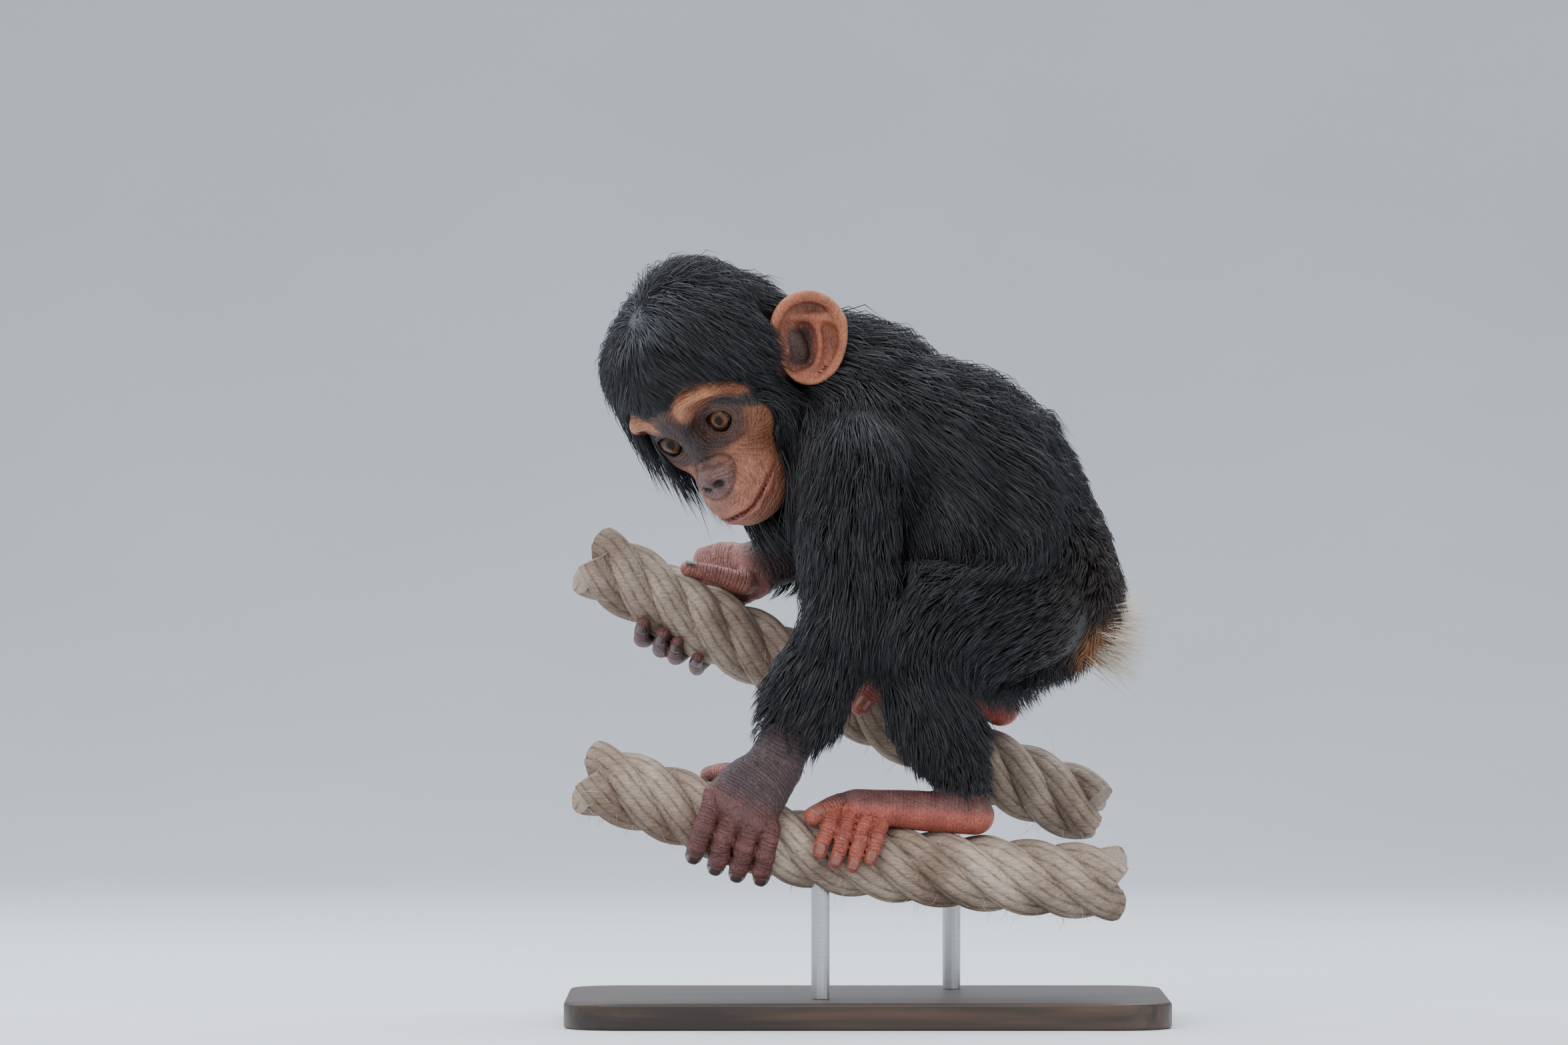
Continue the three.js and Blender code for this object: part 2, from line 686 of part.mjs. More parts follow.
// Ropes and stand
const ropeClear = [ropeSolid(NEAR_ROPE, GAP), ropeSolid(FAR_ROPE, GAP)];
add("rope_near", ropeSolid(NEAR_ROPE), PAINT.rope);
add("rope_far", ropeSolid(FAR_ROPE), PAINT.rope);
add("stand_base", standBase(), PAINT.base);
add("stand_rod_near", standRod(NEAR_ROPE, ROD.nearX), PAINT.rod);
add("stand_rod_far", standRod(FAR_ROPE, ROD.farX), PAINT.rod);

// Each body part in turn is cut clear of those placed before it. shape(grow) builds it, grown all
// round
const placed = [...ropeClear];
function place(name, shape, material) {
  const solid = shape(0);
  add(name, largest(cut(solid, placed.filter((other) => touches(other, solid)))), material);
  placed.push(shape(GAP));
}

const SIDE_NAME = { [LEFT]: "left", [RIGHT]: "right" };
const SIDES = [LEFT, RIGHT];

for (const side of SIDES) {
  place(`eye_${SIDE_NAME[side]}`, (grow) => eyeball(side, grow), PAINT.eye);
}

function headSolid(grow) {
  const lips = [mouthRoll(1.9, -1.2, 2.6 + grow), mouthRoll(-1.9, -1.4, 2.7 + grow)];
  const whole = join([headCore(COAT.head * CORE_SHARE, grow), ...lips, ...SIDES.map(lids)]);
  if (grow > 0) return whole;
  return cut(whole, [...SIDES.map(lidOpening), ...SIDES.map(nostril), mouthRoll(0, 1.1, 0.7)]);
}
for (const side of SIDES) {
  place(`ear_${SIDE_NAME[side]}`, (grow) => cut(ear(side, grow), [headSolid(GAP)]), PAINT.ear);
}

for (const side of SIDES) {
  const name = SIDE_NAME[side];
  place(`hand_${name}`, palm[side].build, PAINT.hand);
  place(`thumb_${name}`, thumb[side].build, PAINT.sole);
  fingers[side].forEach((finger, i) => {
    place(`finger_${name}_${FINGER_NAMES[i]}`, finger.build, PAINT.hand);
  });
  place(`foot_${name}`, sole[side].build, PAINT.sole);
  place(`toe_${name}_big`, hallux[side].build, PAINT.sole);
  toes[side].forEach((toe, i) => {
    place(`toe_${name}_${i + 2}`, toe.build, PAINT.sole);
  });
}

place("tail_tuft", tuft, PAINT.tuft);

// A form's locks, more of them where the part is large
const COATED = [
  {
    name: "torso", form: torso, depth: COAT.torso,
    locks: { rows: 4, columns: 7, length: 80, width: 48, seed: 11, first: -0.06, last: 0.86 },
  },
  {
    name: "neck", form: neck, depth: COAT.neck,
    locks: { rows: 1, columns: 7, length: 52, width: 36, seed: 12, first: 0.35, last: 0.35 },
  },
  ...SIDES.flatMap((side) => [
    {
      name: `upper_arm_${SIDE_NAME[side]}`, form: upperArm[side], depth: COAT.upperArm,
      locks: { rows: 2, columns: 4, length: 62, width: 32, seed: 20 + side, first: 0.1, last: 0.65 },
    },
    {
      name: `forearm_${SIDE_NAME[side]}`, form: forearm[side], depth: COAT.forearm,
      locks: { rows: 2, columns: 4, length: 52, width: 25, seed: 30 + side, first: 0.05, last: 0.48 },
    },
    {
      name: `thigh_${SIDE_NAME[side]}`, form: thigh[side], depth: COAT.thigh,
      locks: { rows: 2, columns: 5, length: 60, width: 37, seed: 40 + side, first: 0.3, last: 0.8 },
    },
    {
      name: `shin_${SIDE_NAME[side]}`, form: shin[side], depth: COAT.shin,
      locks: { rows: 2, columns: 4, length: 56, width: 31, seed: 50 + side, first: 0.12, last: 0.6 },
    },
  ]),
];

// The hair of the head runs out from the crown to the brow, down the sides and to the nape
const HEAD_LOCKS = { rows: [0.26, 0.74, 1.2], girth: 58, length: 47, width: 34, spacing: 36 };
function headLocks() {
  const random = randomFrom(7);
  const { girth, spacing } = HEAD_LOCKS;
  const at = (polar, turn, height) => {
    const direction = crownDirection(polar, turn);
    const raised = height > 0 ? height * hairShare(direction) : height;
    return HEAD.centre.clone().addScaledVector(direction, headReach(direction, raised));
  };
  const made = [];
  HEAD_LOCKS.rows.forEach((polar, row) => {
    const columns = Math.round((2 * Math.PI * girth * Math.sin(polar + 0.2)) / spacing);
    for (let column = 0; column < columns; column += 1) {
      const around = (2 * Math.PI * (column + 0.5 * (row % 2) + 0.3 * (random() - 0.5))) / columns;
      const start = polar + 0.12 * (random() - 0.5);
      if (hairShare(crownDirection(start + 0.35, around)) > 0.5) {
        made.push(lock(at, {
          start, around, length: HEAD_LOCKS.length, width: HEAD_LOCKS.width,
          heading: 0.3 * (random() - 0.5),
          perReach: girth, perTurn: girth * Math.sin(start + 0.4),
          core: COAT.head * CORE_SHARE, tips: COAT.head - 1,
        }));
      }
    }
  });
  return join(made);
}

// Each coated part is a core with locks that reach the coat's tips. Locks keep clear of the bare
// parts, of every other core, and of the space that the locks of the parts before them fill
const bare = [...placed];
const coated = [
  { name: "head", core: headSolid, zone: (grow) => headCore(COAT.head, grow), locks: headLocks },
  ...COATED.map(({ name, form, depth, locks }) => ({
    name,
    core: (grow) => form.build(depth * CORE_SHARE + grow),
    zone: (grow) => form.build(depth + grow, 4),
    locks: () => locksOn(form, depth, locks),
  })),
];
const cores = coated.map(({ core }) => core(GAP));
coated.forEach(({ name, core, locks }, k) => {
  const plain = core(0);
  const clear = (solid, others) => cut(solid, others.filter((other) => touches(other, solid)));
  const made = clear(plain, [...bare, ...cores.slice(0, k)]);
  const zones = coated.slice(0, k).map(({ zone }) => zone(GAP + FACET));
  const coat = clear(locks(), [...bare, ...cores.filter((other, i) => i !== k), ...zones]);
  add(name, largest(made.add(coat)), PAINT.coat);
});

export default group;
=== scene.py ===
# %% [markdown]
# # A young chimpanzee on two ropes
#
# This lesson dresses a life-size still model of a young chimpanzee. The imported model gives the
# frame: every piece is made at its real place, in metres, with +Z up. The animal faces -X and its
# left side is towards -Y. Its skin is one closed mesh, grown from rounded forms that melt into
# each other, and its coat is tens of thousands of thin tufts that lie along the body.

# %% Load the frame
import json
import math

import bmesh
import bpy
import numpy as np
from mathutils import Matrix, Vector
from mathutils.kdtree import KDTree

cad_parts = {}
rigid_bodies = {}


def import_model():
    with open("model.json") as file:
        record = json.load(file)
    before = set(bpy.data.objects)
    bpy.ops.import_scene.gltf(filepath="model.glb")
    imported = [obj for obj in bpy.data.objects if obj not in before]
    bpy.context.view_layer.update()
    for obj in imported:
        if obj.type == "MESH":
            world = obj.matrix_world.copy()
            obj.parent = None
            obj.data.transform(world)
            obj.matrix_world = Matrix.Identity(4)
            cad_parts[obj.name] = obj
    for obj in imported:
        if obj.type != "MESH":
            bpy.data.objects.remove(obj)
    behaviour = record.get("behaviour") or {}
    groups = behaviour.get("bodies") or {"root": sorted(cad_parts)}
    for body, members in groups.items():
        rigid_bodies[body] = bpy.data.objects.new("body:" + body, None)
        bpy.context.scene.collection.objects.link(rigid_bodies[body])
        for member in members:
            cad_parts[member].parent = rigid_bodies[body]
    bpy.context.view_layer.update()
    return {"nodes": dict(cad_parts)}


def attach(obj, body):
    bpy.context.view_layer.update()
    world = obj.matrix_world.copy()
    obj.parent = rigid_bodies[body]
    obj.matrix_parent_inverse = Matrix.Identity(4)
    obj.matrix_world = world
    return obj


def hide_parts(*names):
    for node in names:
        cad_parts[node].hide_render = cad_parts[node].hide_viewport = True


for unused in list(bpy.data.objects):
    bpy.data.objects.remove(unused)
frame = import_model()

# %% [markdown]
# ## Sizes
#
# The sizes are in millimetres and repeat the named sizes of the solids, so that the skin lies
# inside them by the depth of the coat. Each limb is a path of points with a half-width and a
# half-depth at each.

# %% Driving sizes
MM = 0.001
LEFT, RIGHT = -1, 1
SIDES = (LEFT, RIGHT)
SIDE_NAME = {LEFT: "left", RIGHT: "right"}


def vec(*numbers):
    return np.array(numbers, float)


def unit(v):
    return v / np.linalg.norm(v)


def directions(rows, tiny=0.0):
    """Each row at length one. Above zero, tiny leaves very short rows short."""
    return rows / (np.linalg.norm(rows, axis=-1, keepdims=True) + tiny)


ROPE = {"radius": 22.0, "strands": 4, "lay": 108.0}
NEAR_ROPE = [(-165, -60, 148), (-127, -60, 135), (-45, -60, 107), (21, -60, 95.4), (91, -60, 88.8),
             (150, -60, 84.5)]
FAR_ROPE = [(-165, 70, 276), (-120, 70, 251), (-60, 70, 219), (0, 70, 188), (50, 70, 162), (105, 70, 138),
            (140, 70, 124)]

HEAD_CENTRE = vec(-101, -22, 394)
HEAD_RADII = vec(46, 56, 50)
HEAD_FRONT = unit(vec(-0.357, -0.678, -0.643))
HEAD_LEFT = vec(0.667, -0.667, 0.333)
HEAD_LEFT = unit(HEAD_LEFT - HEAD_FRONT * (HEAD_LEFT @ HEAD_FRONT))
HEAD_UP = -np.cross(HEAD_LEFT, HEAD_FRONT)
HEAD_AXES = np.array([HEAD_LEFT, HEAD_FRONT, HEAD_UP])
EYE = {"aside": 21.5, "front": 36.5, "down": 20.5, "radius": 9.8, "bulge": 0.7}
LIDS = {"thick": 1.5, "half_width": 8.6, "half_height": 6.6}
NOSE = {"down": 46, "half_width": 15.5, "half_height": 11.5}
NOSTRIL = (5.2, 65, -48.6)
MOUTH = {"half_width": 25.0, "height": -72.5, "rise": 6.0}
EAR = {"centre": vec(61, -22, -26.5), "root": vec(33, -8, -20), "half_width": 22, "half_height": 27.5}

SHOULDER = {LEFT: (-6, -44, 346), RIGHT: (-10, 44, 348)}
ELBOW = {LEFT: (-12, -66, 242), RIGHT: (2, 104, 300)}
WRIST = {LEFT: (-53, -66, 160), RIGHT: (-64, 78, 273)}
HIP = {LEFT: (104, -30, 250), RIGHT: (104, 30, 252)}
KNEE = {LEFT: (20, -62, 238), RIGHT: (16, 70, 276)}
ANKLE = {LEFT: (56, -60, 141), RIGHT: (73, 70, 206)}
print("crown to rump about", round(np.linalg.norm(vec(-130, -30, 430) - vec(140, 0, 235))), "mm")

# %% [markdown]
# ## Forms as distance fields
#
# A body has no hard edges, so its parts are described as distances: each function says how far a
# point is from a form's surface, below zero inside. Two distances blend smoothly into one, which is
# how a shoulder melts into an arm. Sculpting by hand would do as well, but a field can be asked
# again later, by the coat and by the colours.

# %% Curves, tubes and ellipsoids
def curve(points, count):
    """count points along a smooth curve through the given ones."""
    p = np.array(points, float)
    p = np.vstack([2 * p[0] - p[1], p, 2 * p[-1] - p[-2]])
    spans = len(p) - 3
    made = []
    for share in np.linspace(0, spans, count):
        i = min(int(share), spans - 1)
        t = share - i
        a, b, c, d = p[i:i + 4]
        bend = (2 * a - 5 * b + 4 * c - d) * t**2 + (3 * b - a - 3 * c + d) * t**3
        made.append(0.5 * (2 * b + (c - a) * t + bend))
    return np.array(made)


class Tube:
    """A form round a curve, with its half-sizes along across and along back at each point."""

    def __init__(self, name, points, radii, across=(0, 1, 0), count=9):
        self.name = name
        self.centres = curve(points, count)
        self.sizes = curve(radii, count)
        self.along = directions(np.gradient(self.centres, axis=0))
        side = np.array(across, float)
        self.across = directions(side - self.along * (self.along @ side)[:, None])
        self.back = np.cross(self.along, self.across)
        self.length = np.linalg.norm(np.diff(self.centres, axis=0), axis=1).sum()
        most = self.sizes.max()
        self.low, self.high = self.centres.min(0) - most, self.centres.max(0) + most
        for field in ("centres", "sizes", "along", "across", "back"):
            setattr(self, field, getattr(self, field).astype(np.float32))

    def nearest(self, p):
        """For each point: the distance, the place along from 0 to 1, and the angle round the form."""
        best = np.full(len(p), 1e9, np.float32)
        place = np.zeros(len(p), np.float32)
        angle = np.zeros(len(p), np.float32)
        spans = len(self.centres) - 1
        for i in range(spans):
            start, step = self.centres[i], self.centres[i + 1] - self.centres[i]
            t = np.clip((p - start) @ step / (step @ step), 0, 1)
            d = p - start - t[:, None] * step
            axes = [a[i] + (a[i + 1] - a[i]) * 0.5 for a in (self.across, self.back, self.along)]
            a, b, c = (d @ unit(axis) for axis in axes)
            size = self.sizes[i] + t[:, None] * (self.sizes[i + 1] - self.sizes[i])
            end = size.min(1)
            q = np.sqrt((a / size[:, 0]) ** 2 + (b / size[:, 1]) ** 2 + (c / end) ** 2) + 1e-6
            far = np.sqrt(a * a + b * b + c * c) * (1 - 1 / q)
            far = np.where(q < 1e-3, -end, far)
            closer = far < best
            best = np.where(closer, far, best)
            place = np.where(closer, (i + t) / spans, place)
            angle = np.where(closer, np.arctan2(b, a), angle)
        return best, place, angle

    def field(self, p):
        return self.nearest(p)[0]


def ellipsoid(p, centre, radii):
    """About the distance from an ellipsoid. p is a list of three coordinate arrays."""
    q = [p[i] - centre[i] for i in range(3)]
    scaled = np.sqrt((q[0] / radii[0]) ** 2 + (q[1] / radii[1]) ** 2 + (q[2] / radii[2]) ** 2)
    return (scaled - 1) * min(radii)


def melt(a, b, width):
    """The smooth union of two distances, rounded over about width."""
    h = np.maximum(width - np.abs(a - b), 0) / width
    return np.minimum(a, b) - h * h * width / 4


def carve(a, b, width):
    """a with b taken away, its edge rounded over about width."""
    return -melt(-a, b, width)


print("two equal distances melt to", float(melt(vec(1), vec(1), 2)[0]))

# %% [markdown]
# ## The head
#
# The head has its own directions: aside, front and up. A young chimpanzee has a round braincase, a
# low bare brow ridge, eyes set deep, a flat nose with wide wings, and a muzzle as broad as it is
# long with a thin mouth line that reaches far round its sides.

# %% Head field
def to_head(p):
    return (p - HEAD_CENTRE) @ HEAD_AXES.T


def from_head(aside, front, up):
    return HEAD_CENTRE + aside * HEAD_LEFT + front * HEAD_FRONT + up * HEAD_UP


# Ellipsoids: centre aside, in front and above, half-sizes, and how softly each melts in
SKULL = [
    ((0, 20, -32), (35, 30, 32), 12),
    ((25, 24, -30), (16, 18, 20), 10),
    ((0, 37, -59), (28, 27, 24), 9),
    ((0, 36, -75), (22.5, 27, 16), 7),
]
NOSE_TIP = [
    ((0, 59.5, -43), (7.0, 6.5, 7.0), 3.5),
    ((8.2, 56.5, -46.5), (5.6, 5.4, 6.2), 2.5),
    ((0, 58, -51), (3.0, 4.6, 4.5), 2),
]


def brow_arch(x):
    """Height of a brow's middle line at a distance x from the head's middle plane."""
    return 4.0 - np.where(x < 25, 0.022, 0.070) * (x - 25) ** 2


def nose_ring(x, z):
    """1 on the crease round the nose, less inside it."""
    return np.hypot(x / NOSE["half_width"], (z + NOSE["down"]) / NOSE["half_height"])


def head_field(p):
    """Distance from the head's skin, with brows, sockets, nose, lips and lids."""
    local = to_head(p)
    x, y, z = np.abs(local[:, 0]), local[:, 1], local[:, 2]
    q = [x, y, z]
    d = ellipsoid(q, (0, 0, 0), HEAD_RADII)
    for centre, radii, width in SKULL:
        d = melt(d, ellipsoid(q, centre, radii), width)
    # Brow ridge: an arch over each eye
    ahead = 45.5 - 0.036 * np.maximum(x - 20, 0) ** 2
    ridge = np.sqrt(((x - 24) / 16) ** 2 + ((z - brow_arch(x)) / 5) ** 2 + ((y - ahead) / 9.5) ** 2) - 1
    d = melt(d, ridge * 4.8, 2.5)
    # Eye sockets, with the ball's lids standing in them
    d = carve(d, ellipsoid(q, (EYE["aside"], 50, -EYE["down"]), (15.5, 10, 10.5)), 5)
    to_eye = np.sqrt((x - EYE["aside"]) ** 2 + (y - EYE["front"]) ** 2 + (z + EYE["down"]) ** 2)
    off_ball = to_eye - EYE["radius"]
    d = melt(d, off_ball - LIDS["thick"], 2.5)
    opening = np.hypot((x - EYE["aside"] - 0.3) / LIDS["half_width"],
                       (z + EYE["down"]) / LIDS["half_height"]) - 1
    d = carve(d, np.maximum(opening * LIDS["half_height"], 38 - y), 1.4)
    d = np.maximum(d, 0.15 - off_ball)
    # Folds that ring the lids
    rings = np.exp(-((off_ball - 4.8) / 0.9) ** 2) + np.exp(-((off_ball - 8.2) / 1.0) ** 2)
    d = d + 0.9 * rings * np.clip((y - 36) / 4, 0, 1)
    # Nose: a flat bridge, a broad tip and wings, with two nostrils and a crease round them
    d = melt(d, ellipsoid(q, (0, 48, -28), (6, 6, 14)), 6)
    d = d + 1.1 * np.exp(-((nose_ring(x, z) - 1) / 0.09) ** 2) * np.clip((y - 42) / 5, 0, 1)
    for centre, radii, width in NOSE_TIP:
        d = melt(d, ellipsoid(q, centre, radii), width)
    d = carve(d, ellipsoid(q, NOSTRIL, (3.3, 5.4, 2.5)), 1.4)
    # Mouth: a thin line between two lips
    line = MOUTH["height"] + MOUTH["rise"] * (x / MOUTH["half_width"]) ** 2 + 0.9 * np.cos(x / 4.2)
    inside = np.clip((MOUTH["half_width"] + 4 - x) / 6, 0, 1) * np.clip((y - 30) / 8, 0, 1)
    above = z - line
    lips = 1.5 * np.exp(-((above - 2.6) / 2.2) ** 2) + 1.6 * np.exp(-((above + 2.8) / 2.4) ** 2)
    groove = 2.3 * np.exp(-(above / 0.75) ** 2)
    return d - (lips - groove) * inside


print("the head's middle lies", round(float(-head_field(HEAD_CENTRE[None])[0]), 1), "mm under its skin")

# %% [markdown]
# ## The ears
#
# An ear is a thin cup with a rolled rim, a fold inside the rim and a small lump in front of its
# canal. Each is a shell round a curved sheet, so it comes out about two millimetres thick.

# %% Ear field
def ear_axes(side):
    """The ear's centre and its wide, tall and outward directions."""
    flip = np.array([-side, 1, 1.0])

    def turned(v):
        return unit(np.array(v) * flip @ HEAD_AXES)

    face = turned((0.70, 0.66, 0.28))
    tall = turned((0.30, -0.62, 0.72))
    tall = unit(tall - face * (tall @ face))
    wide = np.cross(face, tall) * side
    centre = from_head(*(EAR["centre"] * flip))
    root = from_head(*(EAR["root"] * flip))
    return centre, root, wide, tall, face


def ear_field(p, side):
    centre, root, wide, tall, face = ear_axes(side)
    d = p - centre
    a, b, c = d @ wide, d @ tall, d @ face
    b_egg = b + 1.5
    width = EAR["half_width"] * (1 + 0.10 * b_egg / EAR["half_height"])
    rho = np.sqrt((a / width) ** 2 + (b_egg / EAR["half_height"]) ** 2) + 1e-6
    turn = np.arctan2(b_egg, a)
    sheet = -8.5 * (1 - np.clip(rho, 0, 1.2) ** 2.2) + 1.5
    # The bowl before the canal is deeper
    sheet = sheet - 5 * np.exp(-((a + 4) / 9) ** 2 - ((b + 5) / 12) ** 2)
    shell = np.abs(c - sheet) * 0.75 - 1.0
    shell = np.maximum(shell, (rho - 0.97) * 20)
    # The rolled rim runs from the front over the top and down the back
    rim_run = np.clip((np.cos(turn - 0.9) + 0.75) * 2, 0, 1)
    rim = np.sqrt(((rho - 0.93) * 23) ** 2 + (c - 2.2) ** 2) - (1.3 + 1.7 * rim_run)
    made = melt(shell, rim, 2.5)
    folds = [((-9, 11, -3), (2, 11.5, -1), (12, 10, 0.5), (19, 8, 1)),
             ((4, 9, -2), (6.5, -1, -1), (6, -11, -1), (2, -19, 0), (-5, -22, 0.5))]
    for line in folds:
        fold = Tube("", [centre + wide * u + tall * v + face * w for u, v, w in line],
                    [(1.5, 1.5)] * len(line), across=face)
        made = melt(made, fold.field(p), 6.5)
    tragus = np.sqrt(((a + 14) / 3.6) ** 2 + ((b + 8) / 5.5) ** 2 + ((c + 0.5) / 4) ** 2) - 1
    made = melt(made, tragus * 3.6, 3)
    stem = Tube("", [centre - wide * 8 - tall * 4 - face * 6, root], [(12, 6.5), (16, 10)], across=tall)
    return melt(made, stem.field(p), 4)


print("left ear at", ear_axes(LEFT)[0].round(1))

# %% [markdown]
# ## Trunk and limbs
#
# The same paths carry the skin and, later, the lie of the coat: hair on a limb follows its path.

# %% Body forms
def between(a, b, share):
    return tuple(a[i] + (b[i] - a[i]) * share for i in range(3))


TORSO = Tube(
    "torso", [(-34, 4, 364), (-8, 0, 350), (30, 0, 332), (69, 0, 305), (94, 0, 274), (103, 0, 256)],
    [(34, 40), (48, 50), (53, 53), (53, 52), (49, 46), (44, 40)])
NECK = Tube("neck", [(-80, 0, 390), (-54, 1, 383), (-26, 3, 371)],
            [(27, 33), (28, 35), (34, 40)], count=5)
LIMB_FORMS = [
    ("upper_arm", SHOULDER, ELBOW, 0.5, [(24, 27), (20, 22), (17, 18)]),
    ("forearm", ELBOW, WRIST, 0.4, [(17, 18), (17, 18.5), (13, 16)]),
    ("thigh", HIP, KNEE, 0.5, [(28, 34), (24, 28), (18, 19)]),
    ("shin", KNEE, ANKLE, 0.4, [(17, 18), (17, 20), (11.5, 13)]),
]
LIMBS = []
for side in SIDES:
    for name, start, end, middle, radii in LIMB_FORMS:
        path = [start[side], between(start[side], end[side], middle), end[side]]
        LIMBS.append(Tube(name + "_" + SIDE_NAME[side], path, radii, count=6))
print("limbs:", [limb.name for limb in LIMBS])

# %% [markdown]
# ## Hands and feet
#
# Four fingers wrap each rope from the knuckles, and the thumb goes the other way. A finger is a
# path wound round its rope, with a slight swelling at each joint.

# %% Points beside a rope
GRIP = ROPE["radius"] + 0.6
ROPE_PATHS = {"near": curve(NEAR_ROPE, 400), "far": curve(FAR_ROPE, 400)}


def beside(rope, x, turn, distance):
    """A point at x along a rope: turn is in degrees from its -Y side, up over the top."""
    path = ROPE_PATHS[rope]
    i = int(np.argmin(np.abs(path[:, 0] - x)))
    along = unit(path[min(i + 1, 399)] - path[max(i - 1, 0)])
    up = -np.cross((0, 1, 0), along)
    angle = math.radians(turn)
    return path[i] + np.array([0, -distance * math.cos(angle), 0]) + up * distance * math.sin(angle)


def wound(rope, x, drift, turns, radius, joints, count=13):
    """A finger or toe round a rope, swollen at its joints, as a Tube."""
    shares = np.linspace(0, 1, count)
    swell = [1 + 0.13 * (sum(math.exp(-((s - j) / 0.07) ** 2) for j in joints) - s**3) for s in shares]
    points = [beside(rope, x + drift * s, turns[0] + (turns[1] - turns[0]) * s, GRIP + radius * 0.97)
              for s in shares]
    return Tube("", points, [(radius * w, radius * w) for w in swell], across=(1, 0, 0), count=count)


print("over the near rope's middle:", beside("near", 0, 90, GRIP).round(1))

# %% [markdown]
# The left hand lies over the near rope with its fingers in front. The right hand comes to the far
# rope from behind, so its fingertips show below the rope. Both feet grip like hands, with a thumb.

# %% Digits, palms and soles
HAND = {
    LEFT: {
        "rope": "near",
        "palm": [(-54, -68, 154), (-66, -79, 143), (-77, -88, 129)], "across": (0.94, 0.1, -0.25),
        "knuckles": (-95, -83, -71, -59.5), "drift": (0, 1, 2, 3), "radius": (6.1, 6.3, 6.2, 5.8),
        "turns": ((24, -54), (22, -60), (18, -60), (12, -54)),
        "thumb": [(-66, -68, 148), (-84, -58, 151), (-95, -47, 149)],
    },
    RIGHT: {
        "rope": "far",
        "palm": [(-68, 78, 268), (-82, 88, 267), (-94, 97, 262)], "across": (0.55, -0.35, -0.5),
        "knuckles": (-112, -103, -94, -84), "drift": (-14, -11, -11, -8), "radius": (4.9, 5, 4.8, 4.5),
        "turns": ((152, 318), (152, 318), (152, 316), (150, 308)),
        "thumb": [(-74, 66, 262), (-92, 62, 268), (-108, 60, 271.5)],
    },
}
FOOT = {
    LEFT: {
        "rope": "near", "sole": [(64, -60, 125), (30, -60, 128), (-6, -62, 131)],
        "toes": (-24, -14.1, -4.3, 5.2), "drift": (-5, -4.6, -4.2, -3.8),
        "turns": ((66, 2), (64, -6), (62, -8), (60, 4)),
        "hallux": ((-6, 92, 10), (-22, 78, 9), (-37, 46, 6.5)),
    },
    RIGHT: {
        "rope": "far", "sole": [(82, 70, 187), (50, 70, 203), (16, 69, 219)],
        "toes": (-19, -9.1, 0.7, 10.2), "drift": (-5, -4.6, -4.2, -3.8),
        "turns": ((120, 205), (118, 212), (118, 214), (116, 200)),
        "hallux": ((14, 84, 9), (2, 45, 7), (-3, -4, 6)),
    },
}
TOE_RADIUS = (4.8, 4.7, 4.6, 4.4)
FINGERS, TOES, THUMBS, HALLUXES, PALMS, SOLES = {}, {}, {}, {}, {}, {}
for side in SIDES:
    h, f = HAND[side], FOOT[side]
    FINGERS[side] = [wound(h["rope"], *sizes, (0.02, 0.42, 0.76))
                     for sizes in zip(h["knuckles"], h["drift"], h["turns"], h["radius"])]
    THUMBS[side] = Tube("", h["thumb"], [(7, 7), (5.8, 5.6), (4.8, 4.6)], count=7)
    PALMS[side] = Tube("", h["palm"], [(16, 11), (21, 10), (23, 9)], across=h["across"], count=6)
    TOES[side] = [wound(f["rope"], *sizes, (0.05, 0.5), 9)
                  for sizes in zip(f["toes"], f["drift"], f["turns"], TOE_RADIUS)]
    HALLUXES[side] = Tube("", [beside(f["rope"], x, turn, GRIP + r) for x, turn, r in f["hallux"]],
                          [(7.5, 7.5), (6.5, 6.5), (5.6, 5.6)], count=7)
    SOLES[side] = Tube("", f["sole"], [(13.5, 11.5), (15, 12), (18, 9.5)], count=7)
print("digits:", sum(len(FINGERS[s]) + len(TOES[s]) + 2 for s in SIDES))

# %% [markdown]
# ## One skin
#
# The forms are summed on a grid of points about a millimetre apart, each only inside its own box,
# and the surface where the distance is zero becomes the mesh. The method is called surface nets:
# every grid cell that the surface crosses gets one vertex, at the middle of its crossings.

# %% Sum the forms on a grid
STEP = 1.25
LOW = np.array([-178.0, -116.0, 72.0])
COUNT = (np.array([346.0, 252.0, 396.0]) / STEP).astype(int)
GRID = np.full(COUNT, 30.0, np.float32)
# A form is asked at every fourth point first, and at all points nearer than this to its surface
STRIDE = 4
NEAR = 5.5


def spread(values, axis, count):
    """Coarse samples drawn out to count fine ones along an axis."""
    at = np.minimum(np.arange(count) / STRIDE, values.shape[axis] - 1.001)
    low = at.astype(int)
    share = (at - low).astype(np.float32).reshape([-1 if i == axis else 1 for i in range(3)])
    return np.take(values, low, axis) * (1 - share) + np.take(values, low + 1, axis) * share


def sample(field, low, high):
    """A form's distances in a box of the grid: everywhere coarsely, and exactly near its surface."""
    first = np.clip(((np.array(low) - LOW) / STEP).astype(int) - 1, 0, COUNT - 2)
    last = np.clip(((np.array(high) - LOW) / STEP).astype(int) + 2, 2, COUNT)
    slices = tuple(slice(a, b) for a, b in zip(first, last))
    size = last - first
    steps = [np.arange(0, n + STRIDE, STRIDE) for n in size]
    coarse = np.stack(np.meshgrid(*steps, indexing="ij"), -1).reshape(-1, 3)
    values = field((LOW + STEP * (first + coarse)).astype(np.float32)).astype(np.float32)
    values = values.reshape([len(s) for s in steps])
    for axis in range(3):
        values = spread(values, axis, size[axis])
    near = np.argwhere(np.abs(values) < NEAR)
    values[tuple(near.T)] = field((LOW + STEP * (first + near)).astype(np.float32))
    return slices, values


def add_form(field, low, high, width, pad=9.0):
    """Melts one form into the grid."""
    slices, values = sample(field, np.array(low) - pad, np.array(high) + pad)
    GRID[slices] = melt(GRID[slices], values, width)


